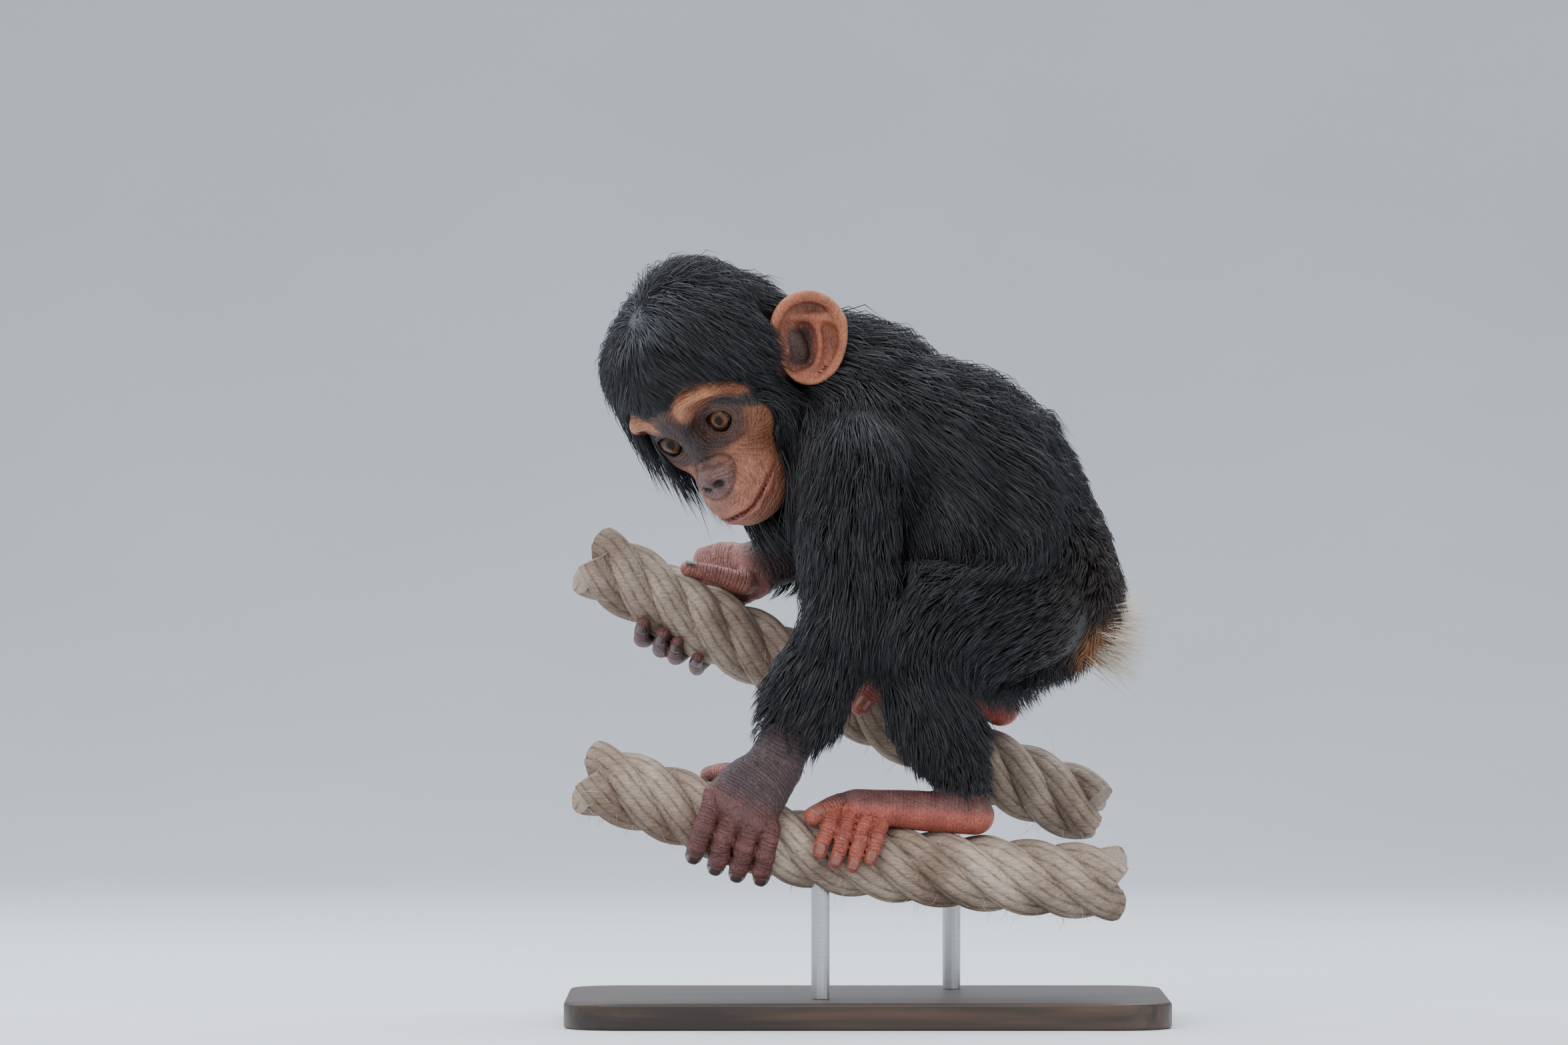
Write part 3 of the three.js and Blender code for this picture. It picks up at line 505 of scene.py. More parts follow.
add_form(TORSO.field, TORSO.low, TORSO.high, 1)
add_form(NECK.field, NECK.low, NECK.high, 16)
for limb in LIMBS:
    add_form(limb.field, limb.low, limb.high, 3 if "shin" in limb.name else 9)
add_form(head_field, HEAD_CENTRE - 105, HEAD_CENTRE + 90, 6, pad=0)
for side in SIDES:
    ear_centre, ear_root = ear_axes(side)[:2]
    add_form(lambda p, s=side: ear_field(p, s), np.minimum(ear_centre, ear_root) - 32,
             np.maximum(ear_centre, ear_root) + 32, 3, pad=0)


def add_extremity(base, digits, thumb, knuckle_melt):
    """A hand or foot: digits that stay apart, melted into the palm or sole, then into the limb."""
    forms = [base, thumb, *digits]
    low = np.min([form.low for form in forms], axis=0)
    high = np.max([form.high for form in forms], axis=0)

    def field(p):
        apart = np.min([digit.field(p) for digit in digits], axis=0)
        whole = melt(base.field(p), apart, knuckle_melt)
        return melt(whole, thumb.field(p), 4)

    add_form(field, low, high, 6, pad=6)


for side in SIDES:
    add_extremity(PALMS[side], FINGERS[side], THUMBS[side], 5)
    add_extremity(SOLES[side], TOES[side], HALLUXES[side], 4)

# Skin pressed on a rope keeps out of it
for rope in ("near", "far"):
    path = ROPE_PATHS[rope][::25]
    away = Tube("", path, [(ROPE["radius"] - 0.4,) * 2] * len(path), count=17)
    slices, values = sample(away.field, away.low - 4, away.high + 4)
    GRID[slices] = np.maximum(GRID[slices], -values)
print("grid:", COUNT, "inside", int((GRID < 0).sum()))

# %% [markdown]
# The net comes from signs alone. A grid edge whose ends lie on different sides of the surface gets
# one four-sided face, which joins the vertices of the four cells round that edge.

# %% Surface nets
def surface_nets(values):
    """The zero surface of a grid of distances: vertices in grid steps, and four-sided faces."""
    inside = values < 0
    corners = [(i, j, k) for i in (0, 1) for j in (0, 1) for k in (0, 1)]
    shape = np.array(values.shape) - 1
    total = np.zeros(shape, np.int8)
    for i, j, k in corners:
        total += inside[i:i + shape[0], j:j + shape[1], k:k + shape[2]]
    cells = np.argwhere((total > 0) & (total < 8))
    index = np.full(shape, -1, np.int32)
    index[tuple(cells.T)] = np.arange(len(cells))
    summed = np.zeros((len(cells), 3))
    hits = np.zeros(len(cells))
    for a in corners:
        for axis in range(3):
            if a[axis]:
                continue
            b = tuple(v + (n == axis) for n, v in enumerate(a))
            fa = values[tuple((cells + a).T)]
            fb = values[tuple((cells + b).T)]
            crossed = (fa < 0) != (fb < 0)
            share = np.where(crossed, fa / np.where(crossed, fa - fb, 1), 0)
            point = np.array(a) + share[:, None] * (np.array(b) - np.array(a))
            summed += np.where(crossed[:, None], point, 0)
            hits += crossed
    vertices = cells + summed / hits[:, None]
    faces = []
    for axis in range(3):
        u, v = (axis + 1) % 3, (axis + 2) % 3
        step = np.zeros(3, int)
        step[axis] = 1
        low = [slice(1, n) for n in shape]
        low[axis] = slice(0, shape[axis])
        high = [slice(1, n) for n in shape]
        high[axis] = slice(1, shape[axis] + 1)
        first, second = inside[tuple(low)], inside[tuple(high)]
        for flip, mask in ((False, first & ~second), (True, ~first & second)):
            at = np.argwhere(mask) + [0 if n == axis else 1 for n in range(3)]
            eu, ev = np.eye(3, dtype=int)[u], np.eye(3, dtype=int)[v]
            ring = [index[tuple(c.T)] for c in (at - eu - ev, at - ev, at, at - eu)]
            faces.append(np.stack(ring[::-1] if flip else ring, -1))
    return vertices, np.concatenate(faces)


net_vertices, net_faces = surface_nets(GRID)
net_vertices = LOW + STEP * net_vertices
print("skin net:", len(net_vertices), "vertices", len(net_faces), "faces")

# %% [markdown]
# ## From net to skin
#
# The net is even, and most of it lies under the coat where nobody sees it. A Decimate modifier
# thins it there, guided by a vertex group, and leaves the face, ears, hands and feet fine.

# %% Bare and coated skin
def hair_share(p):
    """How much of the coat grows on the head: 0 on the face, 1 on the scalp."""
    local = to_head(p)
    direction = directions(local, 1e-9)
    aside, front, up = np.abs(direction[:, 0]), direction[:, 1], direction[:, 2]
    face = np.hypot(aside / 0.66, (up + 0.62) / 0.6)
    softness = 0.16 + 0.4 * smooth(up, -0.4, 0.25)
    scalp = smooth(face, 1.04, 1.04 + softness)
    return np.maximum(scalp, smooth(0.46 - front, 0, 0.22))


def smooth(x, low, high):
    """0 below low, 1 above high, and a smooth step between."""
    t = np.clip((x - low) / (high - low), 0, 1)
    return t * t * (3 - 2 * t)


def digits_distance(p):
    """The distance from the hands, feet and ears, which stay bare."""
    forms = []
    for s in SIDES:
        forms += [PALMS[s], THUMBS[s], SOLES[s], HALLUXES[s], *FINGERS[s], *TOES[s]]
    best = np.full(len(p), 1e3, np.float32)
    for form in forms:
        near = np.all((p > form.low - 12) & (p < form.high + 12), axis=1)
        best[near] = np.minimum(best[near], form.field(p[near]))
    for s in SIDES:
        ear_centre = ear_axes(s)[0]
        near = np.linalg.norm(p - ear_centre, axis=1) < 36
        best[near] = np.minimum(best[near], ear_field(p[near], s))
    return best


def bareness(p):
    """1 on bare skin, 0 where the coat grows."""
    head = np.linalg.norm((to_head(p) - vec(0, 20, -25)) / vec(62, 75, 72), axis=1) < 1
    bare = smooth(4.0 - digits_distance(p), 0, 3)
    local = to_head(p)
    x = np.abs(local[:, 0])
    brow = np.hypot((x - 24) / 18, (local[:, 2] - brow_arch(x) + 1.5) / 8.0)
    brow = smooth(1.15 - brow, 0, 0.2) * smooth(local[:, 1], 20, 30)
    face = np.maximum(brow, 1 - smooth(hair_share(p), 0.02, 0.4))
    return np.where(head, np.maximum(bare, face), bare)


for place, point in (("nose", (0, 60, -46)), ("crown", (0, 0, 50))):
    print("bareness at the", place, round(float(bareness(from_head(*point)[None])[0]), 2))

# %% [markdown]
# The vertex group holds how coated each vertex is, in steps of a tenth, and Decimate takes most
# edges away where that is high. Remeshing would even the whole skin out instead.

# %% Skin mesh
def mesh_object(name, vertices, faces):
    """A mesh object at the origin, with its vertices given in millimetres."""
    mesh = bpy.data.meshes.new(name)
    mesh.from_pydata((np.asarray(vertices) * MM).tolist(), [], [tuple(face) for face in faces])
    mesh.update()
    made = bpy.data.objects.new(name, mesh)
    bpy.context.scene.collection.objects.link(made)
    return made


KEPT_SHARE = 0.36
skin = mesh_object("skin", net_vertices, net_faces)
covered = skin.vertex_groups.new(name="covered")
share = 1 - bareness(net_vertices)
for level in np.unique(np.round(share, 1)):
    chosen = np.flatnonzero(np.round(share, 1) == level)
    covered.add(chosen.tolist(), float(level), "REPLACE")
thin = skin.modifiers.new("thin", "DECIMATE")
thin.ratio = KEPT_SHARE
thin.vertex_group = "covered"
thin.use_collapse_triangulate = True


def applied(piece):
    """The piece with its modifiers worked into its mesh."""
    graph = bpy.context.evaluated_depsgraph_get()
    mesh = bpy.data.meshes.new_from_object(piece.evaluated_get(graph))
    piece.modifiers.clear()
    piece.data = mesh
    mesh.name = piece.name
    return piece


applied(skin)
skin.data.shade_smooth()
print("skin:", len(skin.data.vertices), "vertices", len(skin.data.polygons), "triangles")

# %% [markdown]
# ## Colour of the skin
#
# A young chimpanzee's face is orange-brown, dark round the eyes and over the nose, and pale on the
# brows. Painting by hand would need an image. Here each colour is a formula of the place on the
# body, stored with the mesh as a colour attribute that the material mottles further.

# %% Paint by formula
# The socket colour also serves as painted shade in the nose's crease, the nostrils and the mouth's line,
# and the ear's bowl colour is painted shade.
PAINT = {
    "under_coat": (0.012, 0.011, 0.012), "face": (0.245, 0.088, 0.042), "brow": (0.52, 0.215, 0.105),
    "socket": (0.026, 0.013, 0.012), "lid": (0.105, 0.044, 0.030), "nose": (0.185, 0.098, 0.086),
    "muzzle": (0.37, 0.145, 0.088), "lip": (0.36, 0.105, 0.070), "ear": (0.37, 0.120, 0.062),
    "ear_bowl_shade": (0.045, 0.022, 0.020), "hand": (0.082, 0.047, 0.050), "finger": (0.155, 0.056, 0.048),
    "palm": (0.42, 0.165, 0.13), "foot": (0.17, 0.068, 0.060), "sole": (0.42, 0.105, 0.072),
}


def mix(a, b, share):
    return a + (np.asarray(b) - a) * np.asarray(share)[:, None]


def blob(p, centre, radii, soft=0.35):
    """1 inside an ellipsoid, fading out over soft of its size."""
    q = np.linalg.norm((p - np.array(centre)) / np.array(radii), axis=1)
    return 1 - smooth(q, 1 - soft, 1 + soft)


def tiled(colour, count):
    return np.tile(np.array(colour), (count, 1))


def nearest_of(forms, p):
    return np.min([form.field(p) for form in forms], axis=0)


def face_colour(local):
    """The face's colour at points given in the head's own directions."""
    side_local = local.copy()
    side_local[:, 0] = np.abs(local[:, 0])
    x, y, z = side_local.T
    colour = tiled(PAINT["face"], len(local))
    colour = mix(colour, PAINT["muzzle"], blob(side_local, (0, 52, -66), (31, 30, 28)))
    colour = mix(colour, PAINT["socket"], 0.94 * blob(side_local, (19, 46, -21), (20, 26, 15), 0.25))
    colour = mix(colour, PAINT["socket"], 0.9 * blob(side_local, (0, 50, -16), (12, 22, 22), 0.3))
    eye_ring = np.hypot((x - EYE["aside"]) / 1.15, z + EYE["down"])
    colour = mix(colour, PAINT["lid"], 0.85 * np.exp(-((eye_ring - 10) / 2.6) ** 2))
    brow = np.exp(-((z - brow_arch(x) - 0.2) / 4.6) ** 4) * smooth(38 - x, 0, 5)
    colour = mix(colour, PAINT["brow"], 0.97 * brow * smooth(x, 8, 12) * (y > 30))
    colour = mix(colour, PAINT["nose"], blob(side_local, (0, 58, -46), (14.5, 14, 10.5), 0.15))
    # Painted shade: the crease round the nose and the nostrils are darkened with the socket colour.
    crease = np.exp(-((nose_ring(x, z) - 1) / 0.08) ** 2)
    colour = mix(colour, PAINT["socket"], 0.75 * crease * (y > 40))
    colour = mix(colour, PAINT["socket"], blob(side_local, NOSTRIL, (3.8, 8, 3.0), 0.3))
    above = z - MOUTH["height"] - MOUTH["rise"] * (x / MOUTH["half_width"]) ** 2
    lip = np.exp(-(above / 3.4) ** 2) * smooth(MOUTH["half_width"] + 2 - x, 0, 6)
    colour = mix(colour, PAINT["lip"], 0.75 * lip * (y > 30))
    # Painted shade: the groove of the mouth's line is darkened with the socket colour.
    groove = np.exp(-(above / 0.9) ** 2) * (x < MOUTH["half_width"] + 2)
    return mix(colour, PAINT["socket"], 0.6 * groove * (y > 30))


def ear_colour(p, side):
    """An ear's colour, with painted shade in its bowl and a painted highlight on its rim."""
    centre, _, wide, tall, out = ear_axes(side)
    a, b, c = (p - centre) @ wide, (p - centre) @ tall, (p - centre) @ out
    # Painted shade: the bowl and the hollows under and beside the rim are darkened.
    bowl = 1.3 * np.exp(-((a + 5) / 8.5) ** 4 - ((b + 6) / 13) ** 4)
    bowl = bowl + 0.7 * np.exp(-((a - 2) / 13) ** 2 - ((b - 16.5) / 3.5) ** 2)
    bowl = bowl + 0.45 * np.exp(-((a - 13.5) / 4) ** 2 - ((b + 4) / 9) ** 2)
    colour = mix(tiled(PAINT["ear"], len(p)), PAINT["ear_bowl_shade"], np.clip(bowl, 0, 0.95) * (c < 3))
    edge = np.hypot(a / EAR["half_width"], b / EAR["half_height"])
    # Painted highlight: the raised rim is lightened with the brow's pale colour.
    return mix(colour, PAINT["brow"], 0.55 * smooth(edge, 0.88, 1.02))


print("the middle of the upper lip:", face_colour(vec(0, 60, -66)[None])[0].round(2))

# %% [markdown]
# A hand is dark on its back and redder at the fingers, and its thumb is pale like the palm. A foot
# is dark above and red below a line along its middle. Every part's colour is mixed in near it.

# %% Whole skin
def sole_line(side):
    """The height of the sole's middle along x."""
    centres = SOLES[side].centres[np.argsort(SOLES[side].centres[:, 0])]
    return centres[:, 0], centres[:, 2]


def skin_colour(p):
    local = to_head(p)
    face = bareness(p) * (np.linalg.norm(local - vec(0, 25, -30), axis=1) < 75)
    colour = mix(tiled(PAINT["under_coat"], len(p)), face_colour(local), face)
    for side in SIDES:
        to_ear = np.linalg.norm(p - ear_axes(side)[0], axis=1)
        near = smooth(38 - to_ear, 0, 4) * smooth(4 - ear_field(p, side), 0, 3)
        colour = mix(colour, ear_colour(p, side), near)
        # The hand, its fingers redder and its thumb pale like the palm
        on_thumb, on_fingers = THUMBS[side].field(p), nearest_of(FINGERS[side], p)
        hand = tiled(PAINT["hand" if side == LEFT else "palm"], len(p))
        hand = mix(hand, PAINT["finger"], smooth(9 - on_fingers, 0, 9))
        hand = mix(hand, PAINT["palm"], smooth(3 - on_thumb, 0, 4))
        in_hand = smooth(6 - np.min([PALMS[side].field(p), on_thumb, on_fingers], axis=0), 0, 5)
        colour = mix(colour, hand, in_hand)
        wrist = smooth(62 - np.linalg.norm(p - np.array(WRIST[side]), axis=1), 0, 26)
        colour = mix(colour, PAINT["hand"], wrist * (1 - in_hand))
        # The foot, dark on top and red on the sole and the toes
        on_toes = nearest_of(TOES[side], p)
        low_side = smooth(np.interp(p[:, 0], *sole_line(side)) - p[:, 2], -5, 2)
        foot = mix(tiled(PAINT["foot"], len(p)), PAINT["sole"], low_side)
        foot = mix(foot, PAINT["sole"], 0.7 * smooth(3 - on_toes, 0, 4))
        in_foot = np.min([SOLES[side].field(p), HALLUXES[side].field(p), on_toes], axis=0)
        colour = mix(colour, foot, smooth(6 - in_foot, 0, 5))
    return np.clip(colour, 0, 1)


print("sole line of the left foot:", sole_line(LEFT)[1].round(0))

# %% [markdown]
# The wrinkles need to know where they run. Across a digit they follow its length, and on the face
# they ring the eyes and the mouth, so two more attributes hold that distance and their depth.

# %% Folds, and attributes on the mesh
def points_of(mesh):
    flat = np.empty(len(mesh.vertices) * 3, np.float32)
    mesh.vertices.foreach_get("co", flat)
    return flat.reshape(-1, 3) / MM


def folds(p):
    """For the creases: a distance that grows along each digit, palm or muzzle, and how deep they are."""
    best = np.full(len(p), 1e3)
    second = np.full(len(p), 1e3)
    along, depth = np.zeros(len(p)), np.zeros(len(p))
    forms = [(form, deep) for side in SIDES for form, deep in ((PALMS[side], 1.0), (SOLES[side], 0.25))]
    forms += [(form, 1.0) for side in SIDES
              for form in (*FINGERS[side], *TOES[side], THUMBS[side], HALLUXES[side])]
    forms += [(limb, 0.8) for limb in LIMBS if "forearm" in limb.name]
    for form, deep in forms:
        near = np.all((p > form.low - 8) & (p < form.high + 8), axis=1)
        far, place, _ = form.nearest(p[near])
        closer = far < best[near]
        second[near] = np.where(closer, best[near], np.minimum(second[near], far))
        best[near] = np.where(closer, far, best[near])
        along[near] = np.where(closer, place * form.length, along[near])
        depth[near] = np.where(closer, deep, depth[near])
    depth = depth * smooth(6 - best, 0, 4) * smooth(second - best, 0.3, 2.0)
    local = to_head(p)
    x = np.abs(local[:, 0])
    eye_ring = np.sqrt((x - EYE["aside"]) ** 2 + (local[:, 2] + EYE["down"]) ** 2)
    mouth_ring = np.sqrt((x / 1.25) ** 2 + (local[:, 2] + 58) ** 2)
    on_face = (local[:, 1] > 12) & (np.linalg.norm(local - vec(0, 25, -30), axis=1) < 72)
    ring = np.where(local[:, 2] > -38, eye_ring, mouth_ring)
    seam = smooth(np.abs(local[:, 2] + 38), 0.5, 3) * smooth(x, 0.5, 3)
    along = np.where(on_face, ring, along)
    depth = np.where(on_face, 0.55 * seam, depth)
    return along, depth


def stored(mesh, name, values):
    """Numbers, or colours, stored with a mesh's vertices."""
    kind, field = ("FLOAT", "value") if values.ndim == 1 else ("FLOAT_COLOR", "color")
    if values.ndim == 2:
        values = np.column_stack([values, np.ones(len(values))])
    mesh.attributes.new(name, kind, "POINT").data.foreach_set(field, values.astype(np.float32).ravel())


skin_points = points_of(skin.data)
skin_bare = bareness(skin_points)
stored(skin.data, "tint", skin_colour(skin_points))
fold_along, fold_depth = folds(skin_points)
stored(skin.data, "fold", fold_along)
stored(skin.data, "fold_depth", fold_depth)
print("bare skin share:", round(float(skin_bare.mean()), 2))

# %% [markdown]
# ## Materials
#
# Three effects are shader groups with named inputs, built once: soft mottling, fine creases and
# broad wrinkles. The helpers before them each make one node, fill its inputs with values or with
# other nodes' sockets, and return the socket that is wanted.

# %% Node helpers
def new_group(name, inputs, outputs):
    group = bpy.data.node_groups.new(name, "ShaderNodeTree")
    for title, kind, value in inputs:
        socket = group.interface.new_socket(name=title, in_out="INPUT", socket_type=kind)
        if value is not None:
            socket.default_value = value
    for title, kind in outputs:
        group.interface.new_socket(name=title, in_out="OUTPUT", socket_type=kind)
    return group, group.nodes.new("NodeGroupInput"), group.nodes.new("NodeGroupOutput")


def fill(tree, target, inputs):
    """Sets a node's inputs, or links them where the value is another node's socket."""
    for name, value in inputs.items():
        if isinstance(value, bpy.types.NodeSocket):
            tree.links.new(value, target.inputs[name])
        else:
            target.inputs[name].default_value = value


def node(tree, kind, inputs=None, **settings):
    made = tree.nodes.new(kind)
    for name, value in settings.items():
        setattr(made, name, value)
    fill(tree, made, inputs or {})
    return made


def attribute(tree, name, output="Fac"):
    return node(tree, "ShaderNodeAttribute", attribute_name=name).outputs[output]


def object_place(tree, **stretch):
    """Object coordinates, turned and stretched where Rotation or Scale is given."""
    where = node(tree, "ShaderNodeTexCoord").outputs["Object"]
    if not stretch:
        return where
    return node(tree, "ShaderNodeMapping", {"Vector": where, **stretch}).outputs["Vector"]


def noise(tree, vector, scale, output="Fac", **more):
    return node(tree, "ShaderNodeTexNoise", {"Vector": vector, "Scale": scale, **more}).outputs[output]


def maths(tree, operation, *values):
    return node(tree, "ShaderNodeMath", dict(enumerate(values)), operation=operation).outputs[0]


def ranged(tree, value, low, high, to_low=0.0, to_high=1.0, kind="LINEAR"):
    """A value moved from one range into another."""
    inputs = {"Value": value, "From Min": low, "From Max": high, "To Min": to_low, "To Max": to_high}
    return node(tree, "ShaderNodeMapRange", inputs, interpolation_type=kind).outputs["Result"]


def mixed(tree, blend, share, first, second):
    """Two colours blended by share."""
    inputs = {0: share, 6: first, 7: second}
    return node(tree, "ShaderNodeMix", inputs, data_type="RGBA", blend_type=blend).outputs[2]


def ramp(tree, value, stops):
    """A colour for each value. A stop is a place from 0 to 1 and a colour."""
    made = node(tree, "ShaderNodeValToRGB", {"Fac": value})
    elements = made.color_ramp.elements
    while len(elements) < len(stops):
        elements.new(0.5)
    for element, (place, colour) in zip(elements, stops):
        element.position, element.color = place, (*colour, 1)
    return made.outputs["Color"]


def bumped(tree, height, strength, distance, **more):
    """The normal bent by a height."""
    inputs = {"Height": height, "Strength": strength, "Distance": distance, **more}
    return node(tree, "ShaderNodeBump", inputs).outputs["Normal"]


def use_group(tree, group, **inputs):
    return node(tree, "ShaderNodeGroup", inputs, node_tree=group).outputs[0]


def new_material(name):
    material = bpy.data.materials.new(name)
    material.use_nodes = True
    return material, material.node_tree, material.node_tree.nodes["Principled BSDF"]


print("node helpers:", [f.__name__ for f in (fill, node, noise, maths, ranged, mixed, ramp, bumped)])

# %% [markdown]
# Real skin is never one tone: blood and pigment make patches, and its surface is cells between
# fine creases. Noise gives the patches and Voronoi cells the creases, where a photograph would
# bring its own light with it.

# %% Mottling, creases and wrinkles
def mottle_group():
    """Colour darkened in soft patches, with fine speckle."""
    group, into, out = new_group(
        "mottling",
        [("Color", "NodeSocketColor", (0.5, 0.5, 0.5, 1)), ("Scale", "NodeSocketFloat", 90.0),
         ("Amount", "NodeSocketFloat", 0.35)],
        [("Color", "NodeSocketColor")])
    patches = noise(group, object_place(group), into.outputs["Scale"], Detail=6, Roughness=0.65)
    amount = maths(group, "MULTIPLY", ranged(group, patches, 0.62, 0.38), into.outputs["Amount"])
    dark = mixed(group, "MULTIPLY", amount, into.outputs["Color"], (0.35, 0.30, 0.30, 1))
    fill(group, out, {"Color": dark})
    return group


def crease_group():
    """Height of fine crossing creases between small raised cells, as on wrinkled skin."""
    group, into, out = new_group(
        "creases",
        [("Vector", "NodeSocketVector", None), ("Scale", "NodeSocketFloat", 400.0)],
        [("Height", "NodeSocketFloat")])
    place = into.outputs["Vector"]
    warp = noise(group, place, 120, "Color", Detail=3)
    push = {0: warp, 1: (0.006, 0.006, 0.006), 2: place}
    bent = node(group, "ShaderNodeVectorMath", push, operation="MULTIPLY_ADD").outputs[0]
    cells = node(group, "ShaderNodeTexVoronoi", {"Vector": bent, "Scale": into.outputs["Scale"]},
                 feature="DISTANCE_TO_EDGE")
    crease = ranged(group, cells.outputs["Distance"], 0.0, 0.16, kind="SMOOTHSTEP")
    pores = noise(group, place, 1400, Detail=4)
    fill(group, out, {"Height": maths(group, "MULTIPLY_ADD", pores, 0.35, crease)})
    return group


def wrinkle_group():
    """Height of folds that cross a digit or ring an eye, uneven in place and depth."""
    group, into, out = new_group(
        "wrinkles",
        [("Along", "NodeSocketFloat", 0.0), ("Depth", "NodeSocketFloat", 0.0)],
        [("Height", "NodeSocketFloat")])
    place = object_place(group)
    bent = maths(group, "MULTIPLY_ADD", noise(group, place, 160, Detail=3), 2.2, into.outputs["Along"])
    wave = maths(group, "SINE", maths(group, "MULTIPLY", bent, 3.0))
    sharp = ranged(group, wave, -1.0, -0.1, kind="SMOOTHSTEP")
    patches = ranged(group, noise(group, place, 90), 0.28, 0.5)
    deep = maths(group, "MULTIPLY", patches, into.outputs["Depth"])
    fill(group, out, {"Height": maths(group, "MULTIPLY", sharp, deep)})
    return group


MOTTLING, CREASES, WRINKLES = mottle_group(), crease_group(), wrinkle_group()

print("groups:", [group.name for group in (MOTTLING, CREASES, WRINKLES)])

# %% [markdown]
# The skin takes its painted colour from the mesh and mottles it twice, coarse and fine. Two bumps
# follow each other: the creases, and on top of them the wrinkles that the fold attributes place.

# %% Skin material
def skin_material():
    material, tree, shader = new_material("bare_skin")
    colour = attribute(tree, "tint", "Color")
    for scale, amount in ((110.0, 0.45), (520.0, 0.35)):
        colour = use_group(tree, MOTTLING, Color=colour, Scale=scale, Amount=amount)
    place = object_place(tree, Rotation=(0.5, 0.3, 0.4), Scale=(1.5, 0.8, 0.8))
    creased = bumped(tree, use_group(tree, CREASES, Vector=place, Scale=330.0), 0.55, 0.0006)
    wrinkles = use_group(
        tree, WRINKLES, Along=attribute(tree, "fold"), Depth=attribute(tree, "fold_depth"))
    wrinkled = bumped(tree, wrinkles, 1.0, 0.0010, Normal=creased)
    fill(tree, shader, {
        "Base Color": colour, "Roughness": 0.5, "Specular IOR Level": 0.42, "Normal": wrinkled,
        "Subsurface Weight": 0.12, "Subsurface Radius": (0.003, 0.0012, 0.0008)})
    return material


skin.data.materials.append(skin_material())
FLESH_WORDS = ("head", "neck", "torso", "ear", "upper", "forearm", "thigh", "shin",
               "hand", "thumb", "finger", "foot", "toe")
FLESH = [name for name in frame["nodes"] if name.split("_")[0] in FLESH_WORDS]
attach(skin, "root")
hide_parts(*FLESH)
print("the skin replaces", len(FLESH), "solids")

# %% [markdown]
# ## Eyes
#
# Each eye is a ball with a bulged clear front. The iris is brown with a darker rim and fine
# spokes, and nearly all of the white is brown too. The ball carries the angle from the gaze as an
# attribute, so the rings follow the eye wherever it looks.

# %% Eyes
def eye_material():
    material, tree, shader = new_material("eye_ball")
    rings = ramp(tree, attribute(tree, "gaze_angle"), [
        (0.0, (0.001, 0.001, 0.001)), (0.23, (0.001, 0.001, 0.001)), (0.26, (0.08, 0.030, 0.013)),
        (0.42, (0.17, 0.068, 0.030)), (0.54, (0.09, 0.034, 0.015)), (0.62, (0.010, 0.006, 0.005)),
        (1.0, (0.030, 0.016, 0.011))])
    spokes = noise(tree, object_place(tree), 900, "Color")
    fill(tree, shader, {
        "Base Color": mixed(tree, "MULTIPLY", 0.6, rings, spokes), "Roughness": 0.06,
        "Specular IOR Level": 0.08, "Coat Weight": 0.22, "Coat Roughness": 0.02})
    return material


EYE_MATERIAL = eye_material()
LOOK = unit(0.5 * HEAD_FRONT + 0.5 * vec(-0.05, -1, -0.12))


def eye(side):
    centre = from_head(-side * EYE["aside"], EYE["front"], -EYE["down"])
    rings, sectors = 40, 48
    across = unit(np.cross(LOOK, (0, 0, 1)))
    upward = np.cross(across, LOOK)
    vertices, angles = [centre + LOOK * (EYE["radius"] + EYE["bulge"])], [0.0]
    for ring in range(1, rings):
        angle = math.pi * ring / rings
        bulge = EYE["radius"] + EYE["bulge"] * math.exp(-(angle / 0.5) ** 2)
        for sector in range(sectors):
            turn = 2 * math.pi * sector / sectors
            arm = across * math.cos(turn) + upward * math.sin(turn)
            vertices.append(centre + (LOOK * math.cos(angle) + arm * math.sin(angle)) * bulge)
            angles.append(angle)
    vertices.append(centre - LOOK * EYE["radius"])
    angles.append(math.pi)
    faces = [(0, 1 + (s + 1) % sectors, 1 + s) for s in range(sectors)]
    for ring in range(rings - 2):
        a = 1 + ring * sectors
        faces += [(a + s, a + (s + 1) % sectors, a + sectors + (s + 1) % sectors, a + sectors + s)
                  for s in range(sectors)]
    a = 1 + (rings - 2) * sectors
    faces += [(a + s, a + (s + 1) % sectors, len(vertices) - 1) for s in range(sectors)]
    piece = mesh_object("eye_ball_" + SIDE_NAME[side], vertices, faces)
    stored(piece.data, "gaze_angle", np.array(angles))
    piece.data.materials.append(EYE_MATERIAL)
    outward(piece)
    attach(piece, "root")
    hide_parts("eye_" + SIDE_NAME[side])
    return piece


def outward(piece):
    """Turns every face of a closed mesh outwards, and shades it smooth."""
    work = bmesh.new()
    work.from_mesh(piece.data)
    bmesh.ops.recalc_face_normals(work, faces=work.faces)
    work.to_mesh(piece.data)
    work.free()
    piece.data.shade_smooth()


for side in SIDES:
    print(eye(side).name)

# %% [markdown]
# ## The lie of the coat
#
# Hair has a direction: on the head it runs out from a whorl on the crown, on the trunk back and
# down, on a limb towards the hand or foot. The tubes that made the skin know their own directions,
# so the coat asks them. Between two forms the directions are mixed by how near each one is.

# %% Flow of the coat
TUFT_ROOT = vec(134, 0, 236)
CROWN = vec(-0.1, 0.15, 1.0)
COATED = [TORSO, NECK, *LIMBS]
WAVES = np.random.default_rng(11).normal(size=(3, 4, 3))


def sway(p, size):
    """A smooth random vector field, with bends about size millimetres long."""
    turned = np.stack([np.sin(p @ WAVES[:, k].T * (1.6 / size) + k * 1.7) for k in range(4)])
    return turned.mean(0) * 1.4


def far_temple(p):
    """1 on the right temple, whose long hair hangs straight down."""
    local = to_head(p)
    across = smooth(-local[:, 0], 14, 32)
    return across * smooth(local[:, 2], -66, -40) * smooth(-local[:, 2], -24, 4)


